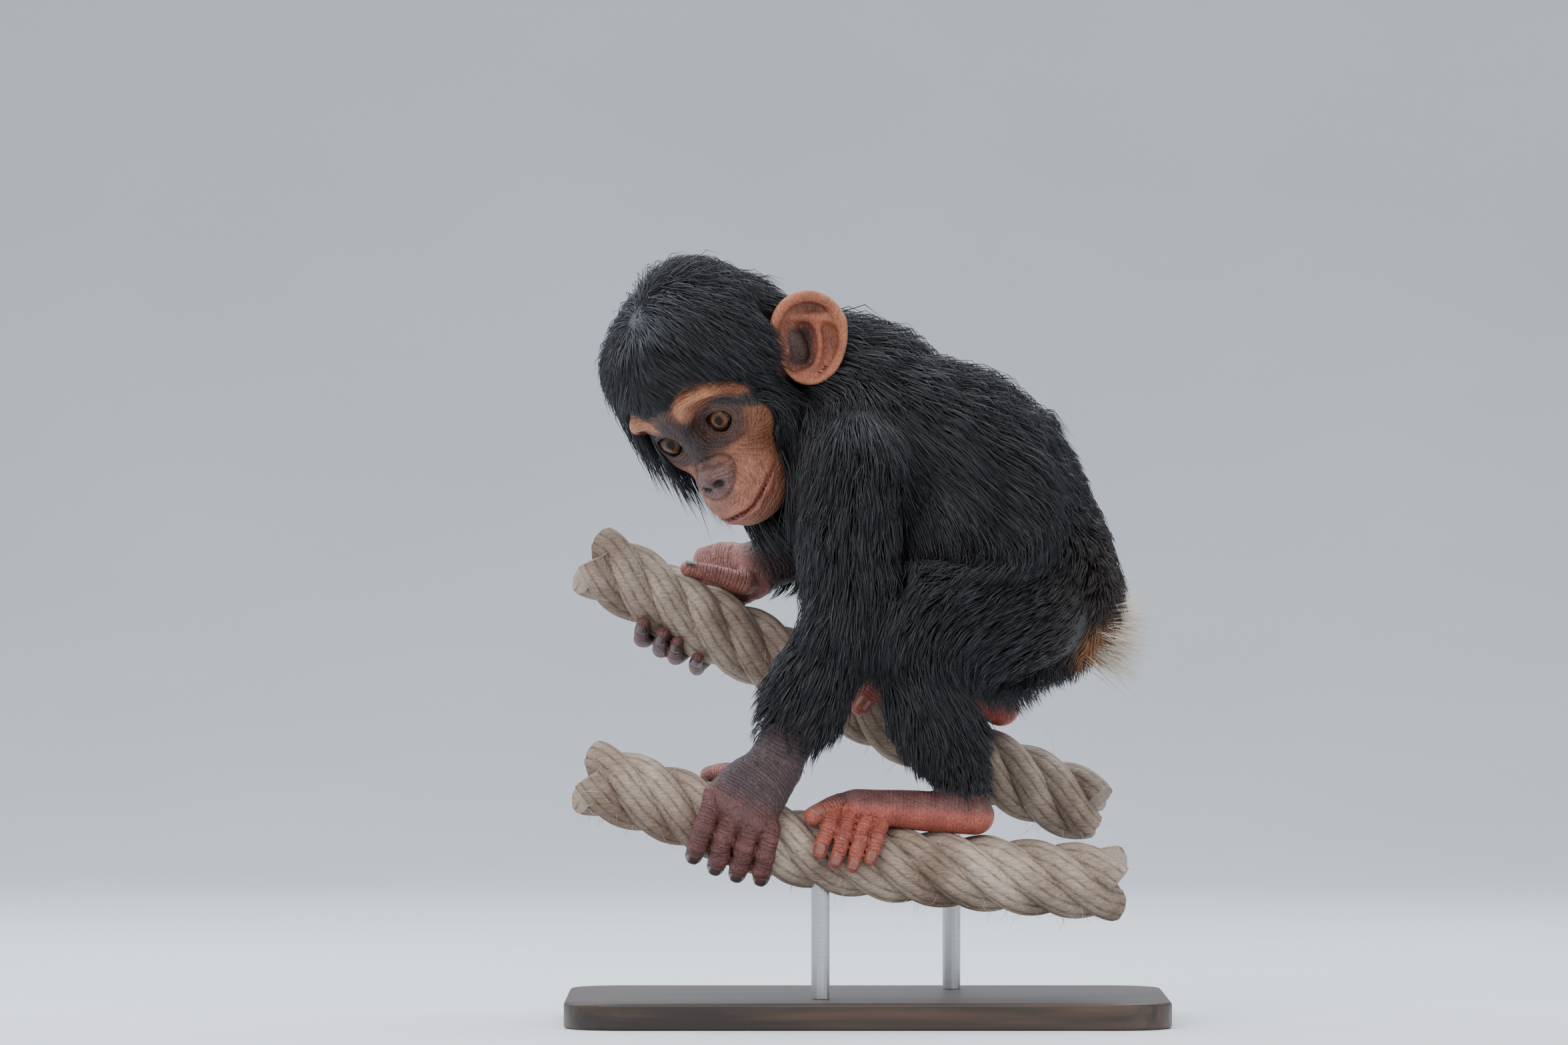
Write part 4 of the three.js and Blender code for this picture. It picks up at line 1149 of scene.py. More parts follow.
def coat_frame(p):
    """At each point: the way out, the lie of the hair, and the nearest form's number, place and angle."""
    local = to_head(p)
    scaled = np.linalg.norm(local / HEAD_RADII, axis=1)[:, None]
    head_far = ((scaled - 1) * 50)[:, 0]
    head_far = np.where(local[:, 2] < -45, head_far + 10, head_far)
    out = directions(local / HEAD_RADII**2)
    lie = directions(-(CROWN - out * (out @ CROWN)[:, None]), 0.05)
    lie = lie + vec(0, -1, 0) * smooth(-local[:, 2], -8, 30)[:, None] * 0.9
    forehead = smooth(local[:, 1], 18, 42) * smooth(local[:, 2], -12, 8) * smooth(-local[:, 2], -48, -20)
    lie = lie + vec(1.3, 0, 0) * (np.tanh(local[:, 0] / 8) * forehead)[:, None]
    lie = lie + (vec(0, 0, -1) @ HEAD_AXES.T) * (1.6 * far_temple(p))[:, None]
    far, outs, lies = [head_far], [out @ HEAD_AXES], [lie @ HEAD_AXES]
    places = [np.arctan2(out[:, 1], out[:, 0]) / (2 * np.pi) + 0.5]
    angles = [np.arccos(np.clip(out[:, 2], -1, 1)) / np.pi]
    for form in COATED:
        d, place, angle = form.nearest(p)
        i = np.minimum((place * (len(form.centres) - 1)).round().astype(int), len(form.centres) - 1)
        normal = (form.across[i] * (np.cos(angle) / form.sizes[i, 0])[:, None]
                  + form.back[i] * (np.sin(angle) / form.sizes[i, 1])[:, None])
        far.append(d)
        outs.append(directions(normal, 1e-6))
        lies.append(form.along[i])
        places.append(place)
        angles.append(angle / (2 * np.pi) + 0.5)
    far = np.array(far)
    weight = np.exp(-(far - far.min(0)) / 7.0)
    weight[0] *= smooth(p[:, 0], -30, -60)
    weight = weight / weight.sum(0)
    out = np.einsum("fn,fnc->nc", weight, np.array(outs))
    lie = np.einsum("fn,fnc->nc", weight, np.array(lies))
    form = weight.argmax(0)
    rows = np.arange(len(p))
    return directions(out, 1e-6), lie, form, np.array(places)[form, rows], np.array(angles)[form, rows]


def coat_colour(p):
    """Near black, browner on the rump and the back of the thighs."""
    colour = np.tile(vec(0.014, 0.0135, 0.016), (len(p), 1))
    rump = smooth(p[:, 0], 95, 150) * smooth(330 - p[:, 2], 0, 60)
    colour = mix(colour, (0.040, 0.022, 0.013), rump * 0.8)
    seat = smooth(20 - np.linalg.norm((p - TUFT_ROOT) / vec(1, 1.6, 1), axis=1), 0, 10)
    return mix(colour, (0.34, 0.14, 0.045), seat)


print("hair on the back lies along", coat_frame(vec(60, 0, 360)[None])[1][0].round(2))

# %% [markdown]
# ## Growing the tufts
#
# A tuft is a tapered wisp of a few hairs with three sides and a closed root. Its root is a random
# place on the skin, and from there it takes three steps: each follows the lie of the hair at that
# place, lifts off the skin less and less, and sways. Neighbouring tufts then draw together at their
# tips, which gives the shaggy locks. Arrays make them all at once, where a particle system would
# not leave a mesh.

# %% Scatter roots and grow
LENGTHS = {"head": 31, "neck": 54, "torso": 50, "upper_arm": 38, "forearm": 30, "thigh": 38, "shin": 32}
COUNTS = {"tufts": 86000, "locks": 5200}
STEPS = 3
RISE = (0.62, 0.30, 0.02)
TUFTS_EACH = 12000
FAR_REACH = 131


def scatter(piece, count, chance, random):
    """Random points on a mesh, in millimetres, as likely as chance (one number per vertex) says."""
    mesh = piece.data
    points = points_of(mesh)
    corners = np.empty(len(mesh.polygons) * 3, np.int32)
    mesh.polygons.foreach_get("vertices", corners)
    corners = corners.reshape(-1, 3)
    a, b, c = (points[corners[:, i]] for i in range(3))
    area = np.linalg.norm(np.cross(b - a, c - a), axis=1) * chance[corners].mean(1)
    chosen = random.choice(len(area), count, p=area / area.sum())
    u, v = random.random((2, count, 1))
    u, v = np.where(u + v > 1, 1 - u, u), np.where(u + v > 1, 1 - v, v)
    return a[chosen] + (b[chosen] - a[chosen]) * u + (c[chosen] - a[chosen]) * v


def coat_length(p, form):
    names = ["head", *(f.name.rsplit("_", 1)[0] if "_" in f.name else f.name for f in COATED)]
    length = np.array([LENGTHS[name] for name in names])[form]
    bare = bareness(p)
    edge = 1 - smooth(bare, 0.0, 0.7)
    local = to_head(p)
    nape = smooth(-local[:, 1], 0, 25) * smooth(local[:, 2], -25, 0)
    hanging = np.where(form == 0, far_temple(p) * 26 + 2 * nape, 0)
    brow = np.where(form == 0, 1 - 0.55 * smooth(local[:, 1], 22, 44) * smooth(-local[:, 2], -26, -4), 1)
    rump = 1 - 0.58 * smooth(p[:, 0], 72, 118) * np.where(form == 0, 0, 1)
    joints = (*WRIST.values(), *ANKLE.values())
    wrist = np.min([np.linalg.norm(p - np.array(joint), axis=1) for joint in joints], axis=0)
    return (length + hanging) * brow * rump * (0.28 + 0.72 * edge) * (0.45 + 0.55 * smooth(wrist, 12, 60))


print("longest hair:", max(LENGTHS.values()), "mm")

# %% [markdown]
# All tufts take each step together, as rows of one array. Hair on the crown lies flat round the
# whorl and rises away from it, and a tuft that would reach over bare skin is shortened.

# %% Grow and draw together
def grow(roots, random, wild=0.10):
    """The points of a tuft from each root: an array of tufts by steps by three."""
    out, lie, form, place, angle = coat_frame(roots)
    drop = np.where(form == 0, far_temple(roots), 0)
    uneven = random.uniform(0.72, 1.12, len(roots)) - drop * random.uniform(-0.1, 0.5, len(roots))
    length = coat_length(roots, form) * uneven
    shake = random.normal(size=roots.shape) * wild
    upright = 1 + 0.9 * smooth(out[:, 2], 0.0, 0.8) * smooth(roots[:, 0], -100, -60)
    from_crown = np.linalg.norm(np.cross(to_head(roots), CROWN / np.linalg.norm(CROWN)), axis=1)
    nape = 0.35 * smooth(-to_head(roots)[:, 1], 5, 30)
    upright = np.where(form == 0, 0.35 + (0.65 + nape) * smooth(from_crown, 8, 30), upright)
    upright = np.where((form == 0) & (to_head(roots)[:, 1] > 28), 0.4, upright)
    points = [roots - out * 0.8]
    for step in range(STEPS):
        if step:
            out, lie = coat_frame(points[-1])[:2]
        along = directions(lie - out * (lie * out).sum(1)[:, None], 0.2)
        way = along + out * (RISE[step] * upright)[:, None]
        way = way + sway(points[-1], 26) * 0.22 + sway(points[-1], 9) * 0.10 + shake
        way = directions(way + vec(0, 0, -1) * (0.10 + 0.12 * step + 1.1 * drop)[:, None])
        points.append(points[-1] + way * (length / STEPS)[:, None])
    tufts = np.stack(points, 1)
    for _ in range(4):
        over = (np.maximum(bareness(tufts[:, 3]), bareness(tufts[:, 2])) > 0.2) & (drop <= 0.3)
        tufts[over] = tufts[over, :1] + (tufts[over] - tufts[over, :1]) * 0.68
    return tufts, form, place, angle


def drawn_together(tufts, locks, pull):
    """Tufts whose tips lean to the tip of the nearest lock."""
    tree = KDTree(len(locks))
    for i, lock in enumerate(locks):
        tree.insert(lock[0], i)
    tree.balance()
    nearest = np.array([tree.find(root)[1] for root in tufts[:, 0]])
    share = pull[:, None] * np.array([0, 0.18, 0.5, 0.8])
    return tufts + (locks[nearest] - tufts) * share[:, :, None]


print("tufts to grow:", COUNTS["tufts"], "drawn to", COUNTS["locks"], "locks")

# %% [markdown]
# A tuft is ten vertices and sixteen triangles: three rings of three and a tip. Its UV patch is a
# tiny one at its root's place on the unwrapped body, so a baked picture gives it that colour.

# %% Tuft mesh
def tuft_mesh(name, points, width, uv, colours):
    """One closed mesh of three-sided tapered tufts. uv is the root's place on the unwrapped body."""
    count, sides = len(points), 3
    along = directions(np.gradient(points, axis=1), 1e-9)
    lean = np.random.default_rng(5).normal(size=(count, 1, 3))
    side = directions(np.cross(along, lean), 1e-9)
    other = np.cross(along, side)
    thick = (width[:, None] * np.array([0.75, 1.0, 0.7]) / 2)[:, :, None]
    rings = []
    for k in range(sides):
        turn = 2 * math.pi * k / sides
        away = side[:, :STEPS] * math.cos(turn) + other[:, :STEPS] * math.sin(turn)
        rings.append(points[:, :STEPS] + away * thick)
    rings = np.stack(rings, 2).reshape(count, STEPS * sides, 3)
    vertices = np.concatenate([rings, points[:, STEPS:]], 1)
    each = STEPS * sides + 1
    last = each - 1 - sides
    faces = [(2, 1, 0)]
    for ring in range(STEPS - 1):
        for k in range(sides):
            a, b = ring * sides + k, ring * sides + (k + 1) % sides
            faces += [(a, b, b + sides), (a, b + sides, a + sides)]
    faces += [(last + k, last + (k + 1) % sides, last + sides) for k in range(sides)]
    corners = (np.array(faces)[None] + np.arange(count)[:, None, None] * each).reshape(-1)
    mesh = bpy.data.meshes.new(name)
    mesh.vertices.add(count * each)
    mesh.vertices.foreach_set("co", (vertices * MM).astype(np.float32).ravel())
    mesh.loops.add(len(corners))
    mesh.loops.foreach_set("vertex_index", corners.astype(np.int32))
    mesh.polygons.add(len(corners) // 3)
    mesh.polygons.foreach_set("loop_start", np.arange(0, len(corners), 3, dtype=np.int32))
    mesh.update(calc_edges=True)
    patch = [(ring / STEPS - 0.5, k / sides - 0.5) for ring in range(STEPS) for k in range(sides)]
    spots = uv[:, None] + np.array([*patch, (0.5, 0)])[None] * 0.003
    layer = mesh.uv_layers.new(name="OFBake")
    layer.data.foreach_set("uv", spots.reshape(-1, 2)[corners].astype(np.float32).ravel())
    reach = [ring / STEPS for ring in range(STEPS) for _ in range(sides)]
    stored(mesh, "reach", np.tile([*reach, 1.0], count))
    stored(mesh, "tint", np.repeat(colours, each, axis=0))
    mesh.shade_smooth()
    piece = bpy.data.objects.new(name, mesh)
    bpy.context.scene.collection.objects.link(piece)
    return piece


print("vertices in a tuft:", STEPS * 3 + 1)

# %% [markdown]
# The coat is grown once and cut into pieces of a handy size, each from one region of the body.
# Tufts that would pass through a rope are left out.

# %% Grow the coat
def clear_of_ropes(points):
    clear = np.ones(len(points), bool)
    for path in ROPE_PATHS.values():
        rope = Tube("", path[::25], [(ROPE["radius"] + 0.8,) * 2] * 16, count=17)
        for step in range(1, STEPS + 1):
            clear &= rope.field(points[:, step]) > 0
    return clear


def unwrapped(form, place, angle):
    """The roots' places on the flattened body: every form has a cell of its own in the unit square."""
    column, row = form % 4, form // 4
    return np.column_stack([(column + 0.04 + 0.92 * place) / 4, (row + 0.04 + 0.92 * angle) / 4])


def grow_coat():
    random = np.random.default_rng(42)
    on_head = np.linalg.norm(to_head(skin_points), axis=1) < 66
    chance = (1 - skin_bare) ** 2 * np.where(on_head, 2.0, 1.0) * (1 - 0.35 * far_temple(skin_points))
    for joint in WRIST.values():
        far = np.linalg.norm(skin_points - np.array(joint), axis=1)
        chance = chance * (0.03 + 0.97 * smooth(far, 14, 52))
    lock_roots = scatter(skin, COUNTS["locks"], chance, random)
    locks = grow(lock_roots, random, 0.16)[0]
    roots = scatter(skin, COUNTS["tufts"], chance, random)
    tufts, form, place, angle = grow(roots, random)
    pull = random.uniform(0.15, 0.85, len(tufts)) * np.where(form == 0, 0.6, 1)
    tufts = drawn_together(tufts, locks, pull)
    # The hair on the far elbow lies flatter, as if combed down
    tufts[:, :, 1] -= 0.55 * np.maximum(tufts[:, :, 1] - FAR_REACH, 0)
    kept = clear_of_ropes(tufts)
    tufts, form, place, angle = tufts[kept], form[kept], place[kept], angle[kept]
    colours = coat_colour(tufts[:, 0]) * random.uniform(0.7, 1.5, (len(tufts), 1))
    width = random.uniform(0.5, 0.95, len(tufts)) * np.where(form == 0, 0.8, 1.0)
    uv = unwrapped(form, place, angle)
    order = np.lexsort((place, form))
    parts = np.array_split(order, math.ceil(len(order) / TUFTS_EACH))
    return [tuft_mesh(f"coat_{i}", tufts[part], width[part], uv[part], colours[part])
            for i, part in enumerate(parts, 1)]


def hair_material(name, roughness, tip):
    """Hair of its own colour, turning towards the tip's colour along its length. On the coat the tip
    colour is a painted bluish sheen.
    """
    material, tree, shader = new_material(name)
    share = maths(tree, "MULTIPLY", attribute(tree, "reach"), 0.35)
    colour = mixed(tree, "MIX", share, attribute(tree, "tint", "Color"), tip)
    fill(tree, shader, {"Base Color": colour, "Roughness": roughness, "Specular IOR Level": 0.55})
    return material


# The coat's bluish-grey tip colour is painted sheen: the sky light that the hair reflects.
COAT_MATERIAL = hair_material("coat_hair", 0.46, (0.034, 0.034, 0.041, 1))
for piece in grow_coat():
    piece.data.materials.append(COAT_MATERIAL)
    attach(piece, "root")
    print(piece.name, len(piece.data.polygons), "triangles")

# %% [markdown]
# ## The white tuft
#
# A young chimpanzee carries a tuft of white hair where a tail would be. It grows the same way from
# one small place, fanned out behind.

# %% Tail tuft
TUFT = {"length": 50, "spread": 0.62, "count": 1100}


def grow_tuft():
    random = np.random.default_rng(9)
    count = TUFT["count"]
    aim = unit(vec(1, 0, -0.12))
    turn = random.uniform(0, 2 * np.pi, count)
    tilt = TUFT["spread"] * np.sqrt(random.random(count))
    side = unit(np.cross(aim, (0, 0, 1)))
    other = np.cross(aim, side)
    way = (aim * np.cos(tilt)[:, None] + side * (np.sin(tilt) * np.cos(turn) * 0.6)[:, None]
           + other * (np.sin(tilt) * np.sin(turn))[:, None])
    root = TUFT_ROOT - aim * 10 + side * random.normal(size=(count, 1)) * 5
    root = root + other * random.normal(size=(count, 1)) * 7
    length = TUFT["length"] * random.uniform(0.55, 1.05, count)
    points = [root]
    for step in range(STEPS):
        way = directions(way + random.normal(size=way.shape) * 0.06 + vec(0, 0, -0.05))
        points.append(points[-1] + way * (length / STEPS)[:, None])
    colours = np.tile(vec(0.62, 0.50, 0.38), (count, 1)) * random.uniform(0.75, 1.15, (count, 1))
    uv = np.column_stack([0.8 + 0.15 * random.random(count), 0.85 + 0.1 * random.random(count)])
    return tuft_mesh("tail_hair", np.stack(points, 1), random.uniform(0.35, 0.7, count), uv, colours)


tail = grow_tuft()
tail.data.materials.append(hair_material("tuft_hair", 0.5, (0.95, 0.93, 0.88, 1)))
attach(tail, "root")
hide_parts("tail_tuft")
print("tail tuft:", len(tail.data.polygons), "triangles")

# %% [markdown]
# ## Nails
#
# A nail is a thin plate bent round the back of a digit's tip. Each is placed by its digit's own
# path, on the side away from the rope.

# %% Nails
NAIL_ROWS = 7
NAIL_TINT = {"hand": (0.075, 0.043, 0.040), "foot": (0.26, 0.095, 0.070)}


def nail_points(tip, along, out, radius, deep):
    """A rounded, bent plate: a grid of points on it, deep millimetres under its top."""
    side = unit(np.cross(along, out))
    points = []
    for v in np.linspace(0, 1, NAIL_ROWS):
        half = 0.95 * math.sqrt(max(1 - (2 * max(v - 0.62, 0)) ** 2, 0.05)) * (1 - 0.25 * (1 - v) ** 4)
        lift = radius * (1.06 - 0.10 * v * v) - deep
        for turn in np.linspace(-half, half, NAIL_ROWS):
            arm = out * math.cos(turn) + side * math.sin(turn)
            points.append(tip + along * radius * (1.55 * v - 1.15) + arm * lift)
    return points


def nail_set():
    vertices, faces, colours = [], [], []
    digits = []
    for side in SIDES:
        hand, foot = (*FINGERS[side], THUMBS[side]), (*TOES[side], HALLUXES[side])
        digits += [(tube, HAND[side]["rope"], NAIL_TINT["hand"]) for tube in hand]
        digits += [(tube, FOOT[side]["rope"], NAIL_TINT["foot"]) for tube in foot]
    n = NAIL_ROWS
    rim = [*range(n), *range(2 * n - 1, n * n, n),
           *range(n * n - 2, n * n - n - 1, -1), *range(n * n - 2 * n, 0, -n)]
    for tube, rope, colour in digits:
        tip, along = tube.centres[-1].astype(float), unit(tube.centres[-1] - tube.centres[-2])
        path = ROPE_PATHS[rope]
        out = tip - path[np.linalg.norm(path - tip, axis=1).argmin()]
        out = unit(out - along * (out @ along))
        radius = float(tube.sizes[-1].mean())
        first = len(vertices)
        for deep in (0, 0.6):
            vertices += nail_points(tip, along, out, radius, deep)
        for row in range(n - 1):
            for a in range(first + row * n, first + row * n + n - 1):
                faces.append((a, a + 1, a + n + 1, a + n))
                faces.append((a + n * n + n, a + n * n + n + 1, a + n * n + 1, a + n * n))
        for a, b in zip(rim, rim[1:] + rim[:1]):
            faces.append((first + b, first + a, first + a + n * n, first + b + n * n))
        colours += [colour] * (2 * n * n)
    made = mesh_object("nails", vertices, faces)
    stored(made.data, "tint", np.array(colours))
    return made


def nail_material():
    material, tree, shader = new_material("nail_plate")
    colour = use_group(tree, MOTTLING, Color=attribute(tree, "tint", "Color"), Scale=500.0, Amount=0.5)
    fill(tree, shader, {"Base Color": colour, "Roughness": 0.3})
    return material


nails = nail_set()
outward(nails)
nails.data.materials.append(nail_material())
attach(nails, "root")
print("nails:", len(nails.data.polygons), "faces")

# %% [markdown]
# ## Ropes
#
# Each rope is four strands laid round each other. Geometry Nodes make them from one path: the path
# is copied once for each strand, each copy is pushed off the middle by a turning offset, and a
# ridged outline is swept along it. The ridges are the yarns.

# %% Rope nodes
def rope_tree():
    tree = bpy.data.node_groups.new("laid rope", "GeometryNodeTree")
    face = tree.interface
    face.new_socket(name="Geometry", in_out="INPUT", socket_type="NodeSocketGeometry")
    for title, kind, value in (
            ("Strands", "Int", 4), ("Lay", "Float", 0.108), ("Offset", "Float", 0.0126),
            ("Strand radius", "Float", 0.0094), ("Yarns", "Float", 9.0), ("Yarn depth", "Float", 0.0005),
            ("Material", "Material", None)):
        socket = face.new_socket(name=title, in_out="INPUT", socket_type="NodeSocket" + kind)
        if value is not None:
            socket.default_value = value
    face.new_socket(name="Geometry", in_out="OUTPUT", socket_type="NodeSocketGeometry")
    into, out = tree.nodes.new("NodeGroupInput").outputs, tree.nodes.new("NodeGroupOutput")
    full = 2 * math.pi

    def times(*values):
        made = values[0]
        for value in values[1:]:
            made = maths(tree, "MULTIPLY", made, value)
        return made

    def vectors(operation, inputs):
        return node(tree, "ShaderNodeVectorMath", inputs, operation=operation).outputs[0]

    def shaped(kind, inputs, output="Geometry", **settings):
        return node(tree, "GeometryNode" + kind, inputs, **settings).outputs[output]

    def stored(geometry, name, value):
        inputs = {"Geometry": geometry, "Name": name, "Value": value}
        return shaped("StoreNamedAttribute", inputs, data_type="FLOAT", domain="POINT")

    def read(name):
        return shaped("InputNamedAttribute", {"Name": name}, "Attribute", data_type="FLOAT")

    # One copy of the path for each strand, pushed off the middle by a turning offset
    path = shaped("MeshToCurve", {"Mesh": into["Geometry"]}, "Curve")
    even = shaped("ResampleCurve", {"Curve": path, "Count": 150}, "Curve")
    copies = node(tree, "GeometryNodeDuplicateElements", {"Geometry": even, "Amount": into["Strands"]},
                  domain="SPLINE").outputs
    length = shaped("SplineParameter", {}, "Length")
    own = times(maths(tree, "DIVIDE", copies["Duplicate Index"], into["Strands"]), full)
    turn = maths(tree, "SUBTRACT", own, times(maths(tree, "DIVIDE", length, into["Lay"]), full))
    up = vectors("CROSS_PRODUCT", {0: shaped("InputTangent", {}, "Tangent"), 1: (0, 1, 0)})
    forward = vectors("SCALE", {0: (0, -1, 0), 3: maths(tree, "COSINE", turn)})
    risen = vectors("SCALE", {0: up, 3: maths(tree, "SINE", turn)})
    offset = vectors("SCALE", {0: vectors("ADD", {0: forward, 1: risen}), 3: into["Offset"]})
    laid = shaped("SetPosition", {"Geometry": copies["Geometry"], "Offset": offset})
    # A round outline swept along each, raised into yarns that wind round it
    outline = shaped("CurvePrimitiveCircle", {"Resolution": 45, "Radius": into["Strand radius"]}, "Curve")
    around = stored(outline, "around", shaped("SplineParameter", {}, "Factor"))
    swept = shaped("CurveToMesh", {"Curve": stored(laid, "along", length), "Profile Curve": around,
                                   "Fill Caps": True}, "Mesh")
    wave = maths(tree, "ADD", times(read("around"), into["Yarns"], full), times(read("along"), 95.0))
    yarn = maths(tree, "ABSOLUTE", maths(tree, "SINE", times(wave, 0.5)))
    rough = node(tree, "ShaderNodeTexNoise", {"Scale": 60}).outputs["Fac"]
    height = times(maths(tree, "ADD", yarn, times(rough, 1.6)), into["Yarn depth"])
    lifted = vectors("SCALE", {0: shaped("InputNormal", {}, "Normal"), 3: height})
    raised = shaped("SetPosition", {"Geometry": swept, "Offset": lifted})
    smoothed = shaped("SetShadeSmooth", {"Geometry": stored(raised, "yarn", yarn)})
    whole = shaped("RealizeInstances", {"Geometry": smoothed})
    painted = shaped("SetMaterial", {"Geometry": whole, "Material": into["Material"]})
    fill(tree, out, {"Geometry": painted})
    return tree


LAID_ROPE = rope_tree()
print("rope nodes:", len(LAID_ROPE.nodes))


def set_input(modifier, title, value):
    for item in modifier.node_group.interface.items_tree:
        if item.item_type == "SOCKET" and item.in_out == "INPUT" and item.name == title:
            modifier[item.identifier] = value

# %% [markdown]
# Rope fibre is pale beige, greyer where it has weathered. The material reads how high a point lies
# on its yarn and darkens the grooves between the yarns as painted shade. A thin fifth strand fills
# the middle of the rope.

# %% Rope material and ropes
def rope_material():
    material, tree, shader = new_material("rope_fibre")
    tone = ramp(tree, noise(tree, object_place(tree), 22, Detail=5),
                [(0.36, (0.225, 0.155, 0.112)), (0.66, (0.52, 0.415, 0.325))])
    place = object_place(tree, Rotation=(0, 0.35, 0), Scale=(0.16, 1, 1))
    fibres = noise(tree, place, 900, Detail=4)
    streaked = mixed(tree, "MULTIPLY", 0.75, tone, ranged(tree, fibres, 0.30, 0.62, 0.45))
    # Painted shade: the grooves between the yarns are darkened.
    groove_shade = ranged(tree, attribute(tree, "yarn"), 0.55, 0.0)
    fill(tree, shader, {
        "Base Color": mixed(tree, "MULTIPLY", groove_shade, streaked, (0.42, 0.34, 0.27, 1)), "Roughness": 0.88,
        "Normal": bumped(tree, fibres, 0.9, 0.0012)})
    return material


ROPE_MATERIAL = rope_material()


def laid_strands(title, path, settings):
    """Strands along a path, as one mesh, from the node tree and its inputs."""
    mesh = bpy.data.meshes.new("rope_path")
    mesh.from_pydata((path * MM).tolist(), [(i, i + 1) for i in range(len(path) - 1)], [])
    piece = bpy.data.objects.new(title, mesh)
    bpy.context.scene.collection.objects.link(piece)
    laid = piece.modifiers.new("laid", "NODES")
    laid.node_group = LAID_ROPE
    for name, value in settings.items():
        set_input(laid, name, value)
    set_input(laid, "Lay", ROPE["lay"] * MM)
    set_input(laid, "Material", ROPE_MATERIAL)
    applied(piece)
    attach(piece, "root")
    return piece


def make_rope(name, path):
    laid_strands("rope_core_" + name, path, {"Strands": 1, "Offset": 0.0, "Strand radius": 0.0052})
    piece = laid_strands("laid_rope_" + name, path, {"Strands": ROPE["strands"]})
    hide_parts("rope_" + name)
    return piece


for name, path in ROPE_PATHS.items():
    piece = make_rope(name, path[::4])
    print(piece.name, len(piece.data.polygons), "faces", [m.name for m in piece.data.materials])

# %% [markdown]
# Old rope sheds. A few hundred loose fibres stand off each rope, most of them underneath. They are
# the same tapered tufts as the coat's, only thinner.

# %% Loose fibres
def loose_fibres(name, path, count=420):
    random = np.random.default_rng(len(name))
    at = random.integers(4, len(path) - 5, count)
    along = directions(path[at + 3] - path[at - 3])
    turn = random.vonmises(-math.pi / 2, 0.6, count)
    up = -np.cross((0, 1, 0), along)
    out = vec(0, -1, 0) * np.cos(turn)[:, None] + up * np.sin(turn)[:, None]
    way = directions(along * random.normal(size=(count, 1)) + out * random.uniform(0.1, 0.9, (count, 1)))
    length = random.gamma(2.0, 4.0, count)
    points = [path[at] + out * (ROPE["radius"] - 2.5)]
    for _ in range(STEPS):
        way = directions(way + random.normal(size=way.shape) * 0.35 + out * 0.1 - vec(0, 0, 0.12))
        points.append(points[-1] + way * (length / STEPS)[:, None])
    colours = np.tile(vec(0.50, 0.41, 0.32), (count, 1)) * random.uniform(0.7, 1.2, (count, 1))
    fibres = tuft_mesh("rope_fibres_" + name, np.stack(points, 1), random.uniform(0.18, 0.34, count),
                       random.random((count, 2)) * 0.9 + 0.05, colours)
    fibres.data.materials.append(FIBRE_MATERIAL)
    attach(fibres, "root")
    return fibres


FIBRE_MATERIAL = hair_material("loose_fibre", 0.8, (0.62, 0.54, 0.45, 1))
for name, path in ROPE_PATHS.items():
    print(loose_fibres(name, path).name)

# %% [markdown]
# ## Stand
#
# The stand is plain on purpose. Its slab is dark satin wood with softened edges, where a Bevel
# modifier does what a file would, and its rods keep their solids in brushed steel.

# %% Stand
BASE = {"length": 360, "width": 240, "thickness": 16, "corner": 34}


def rounded_slab():
    x, y, r = BASE["length"] / 2, BASE["width"] / 2, BASE["corner"]
    ring = []
    corners = ((x - r, -y + r, -90), (x - r, y - r, 0), (-x + r, y - r, 90), (-x + r, -y + r, 180))
    for cx, cy, start in corners:
        for step in range(13):
            turn = math.radians(start + 90 * step / 12)
            ring.append((cx + r * math.cos(turn), cy + r * math.sin(turn)))
    n = len(ring)
    vertices = [(a, b, z) for z in (0, BASE["thickness"]) for a, b in ring]
    faces = [tuple(range(n - 1, -1, -1)), tuple(range(n, 2 * n))]
    faces += [(i, (i + 1) % n, n + (i + 1) % n, n + i) for i in range(n)]
    slab = mesh_object("stand_slab", vertices, faces)
    soft = slab.modifiers.new("soft edge", "BEVEL")
    soft.width = 2.2 * MM
    soft.segments = 4
    soft.limit_method = "ANGLE"
    soft.angle_limit = math.radians(40)
    applied(slab)
    outward(slab)
    return slab


def wood_material():
    material, tree, shader = new_material("satin_wood")
    grain = noise(tree, object_place(tree, Scale=(5, 90, 60)), 1.2, Detail=8, Distortion=0.6)
    tone = ramp(tree, grain, [(0.35, (0.020, 0.012, 0.008)), (0.65, (0.075, 0.042, 0.025))])
    ridged = bumped(tree, grain, 0.25, 0.0004)
    fill(tree, shader, {"Base Color": tone, "Roughness": 0.42, "Normal": ridged})
    return material


def steel_material():
    material, tree, shader = new_material("brushed_steel")
    lines = noise(tree, object_place(tree, Scale=(1, 1, 40)), 60, Detail=4)
    tone = ranged(tree, lines, 0.0, 1.0, 0.36, 0.62)
    fill(tree, shader, {"Base Color": tone, "Metallic": 1, "Roughness": 0.32})
    return material


slab = rounded_slab()
slab.data.materials.append(wood_material())
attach(slab, "root")
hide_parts("stand_base")
STEEL = steel_material()
for piece in bpy.data.objects:
    if piece.name.startswith("stand_rod"):
        piece.data.materials.clear()
        piece.data.materials.append(STEEL)
        print(piece.name, "in steel")

# %% [markdown]
# ## Camera, floor and light
#
# The camera stands level with the animal, about six metres away with a long lens. The light is
# large and soft from above, with a cooler one behind that draws the edge of the coat.

# %% Stage
CAMERA = {"look_at": (-0.0496, 0.0, 0.2992), "distance": 6.0, "width": 0.941}
WORLD = {"colour": (0.80, 0.86, 0.95, 1), "strength": 0.75}


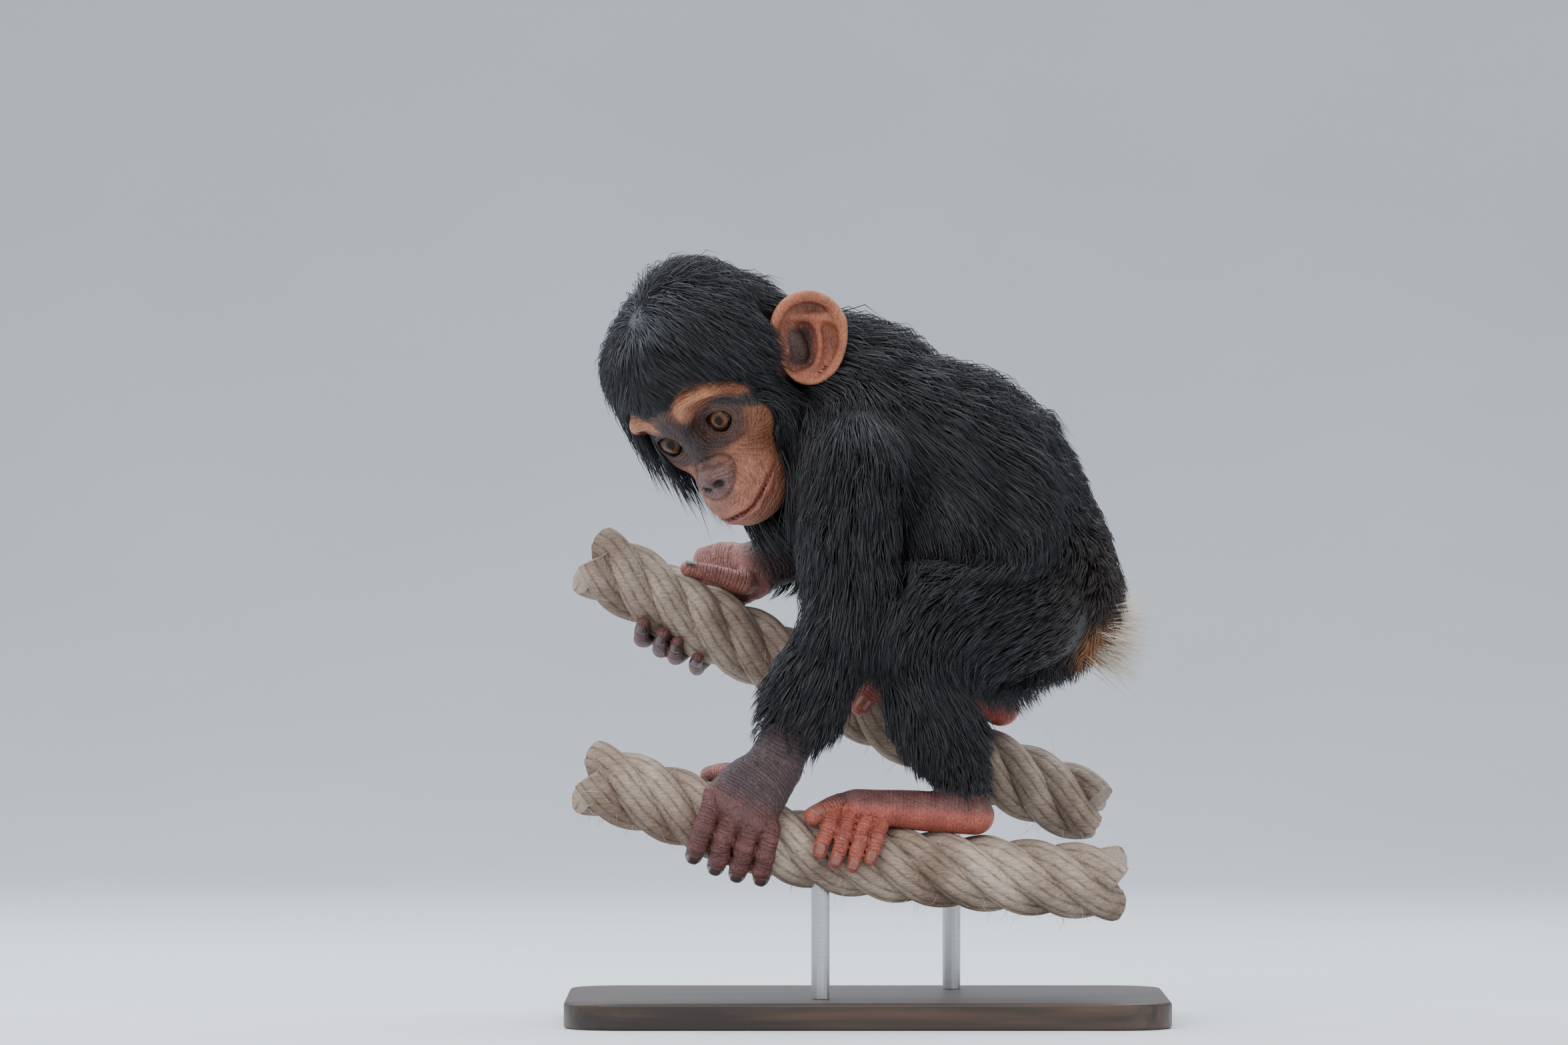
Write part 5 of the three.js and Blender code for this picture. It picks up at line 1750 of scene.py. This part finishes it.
def make_camera():
    data = bpy.data.cameras.new("camera")
    camera = bpy.data.objects.new("camera", data)
    bpy.context.scene.collection.objects.link(camera)
    camera.location = Vector(CAMERA["look_at"]) - Vector((0, CAMERA["distance"], 0))
    camera.rotation_euler = (math.pi / 2, 0, 0)
    data.sensor_width = 36
    data.lens = data.sensor_width * CAMERA["distance"] / CAMERA["width"]
    data.clip_end = 200
    bpy.context.scene.camera = camera


# Name, place, what it shines on, size, power and colour
LIGHTS = [
    ("key", (-0.9, -1.6, 1.9), (-0.05, 0, 0.3), 2.2, 52, (1, 0.98, 0.95)),
    ("sky", (-1.6, 0.7, 1.5), (-0.1, 0, 0.38), 1.8, 34, (0.78, 0.88, 1)),
    ("top", (0.3, 0.7, 2.0), (0, 0, 0.35), 2.2, 60, (0.82, 0.90, 1)),
    ("fill", (1.6, -1.6, 0.9), (0, 0, 0.3), 1.6, 14, (1, 1, 1)),
]


def area_light(name, place, target, size, power, colour):
    data = bpy.data.lights.new(name, "AREA")
    data.size, data.energy, data.color = size, power, colour
    light = bpy.data.objects.new(name, data)
    bpy.context.scene.collection.objects.link(light)
    light.location = place
    light.rotation_euler = (Vector(target) - Vector(place)).to_track_quat("-Z", "Y").to_euler()


def floor_material():
    """Pale paper with a hardly seen cloudiness."""
    material, tree, shader = new_material("pale_floor")
    tone = ramp(tree, noise(tree, object_place(tree), 3, Detail=4),
                [(0.3, (0.72, 0.74, 0.76)), (0.7, (0.76, 0.78, 0.80))])
    fill(tree, shader, {"Base Color": tone, "Roughness": 0.85})
    return material


def make_stage():
    turns = np.linspace(0.05, math.pi / 2, 30)
    sweep = [(2.2 + 2.5 * math.sin(turn), 2.5 - 2.5 * math.cos(turn)) for turn in turns]
    profile = [(-40.0, 0.0), (2.2, 0.0), *sweep, (4.7, 9.0)]
    vertices = [(x, y, z) for x in (-30, 30) for y, z in profile]
    count = len(profile)
    faces = [(i, i + count, i + count + 1, i + 1) for i in range(count - 1)]
    floor = mesh_object("floor", np.array(vertices) / MM, faces)
    floor.data.shade_smooth()
    floor.data.materials.append(floor_material())
    world = bpy.data.worlds.new("studio")
    bpy.context.scene.world = world
    world.use_nodes = True
    fill(world.node_tree, world.node_tree.nodes["Background"], {0: WORLD["colour"], 1: WORLD["strength"]})
    for light in LIGHTS:
        area_light(*light)


make_camera()
make_stage()
print("lights:", [light.name for light in bpy.data.lights])
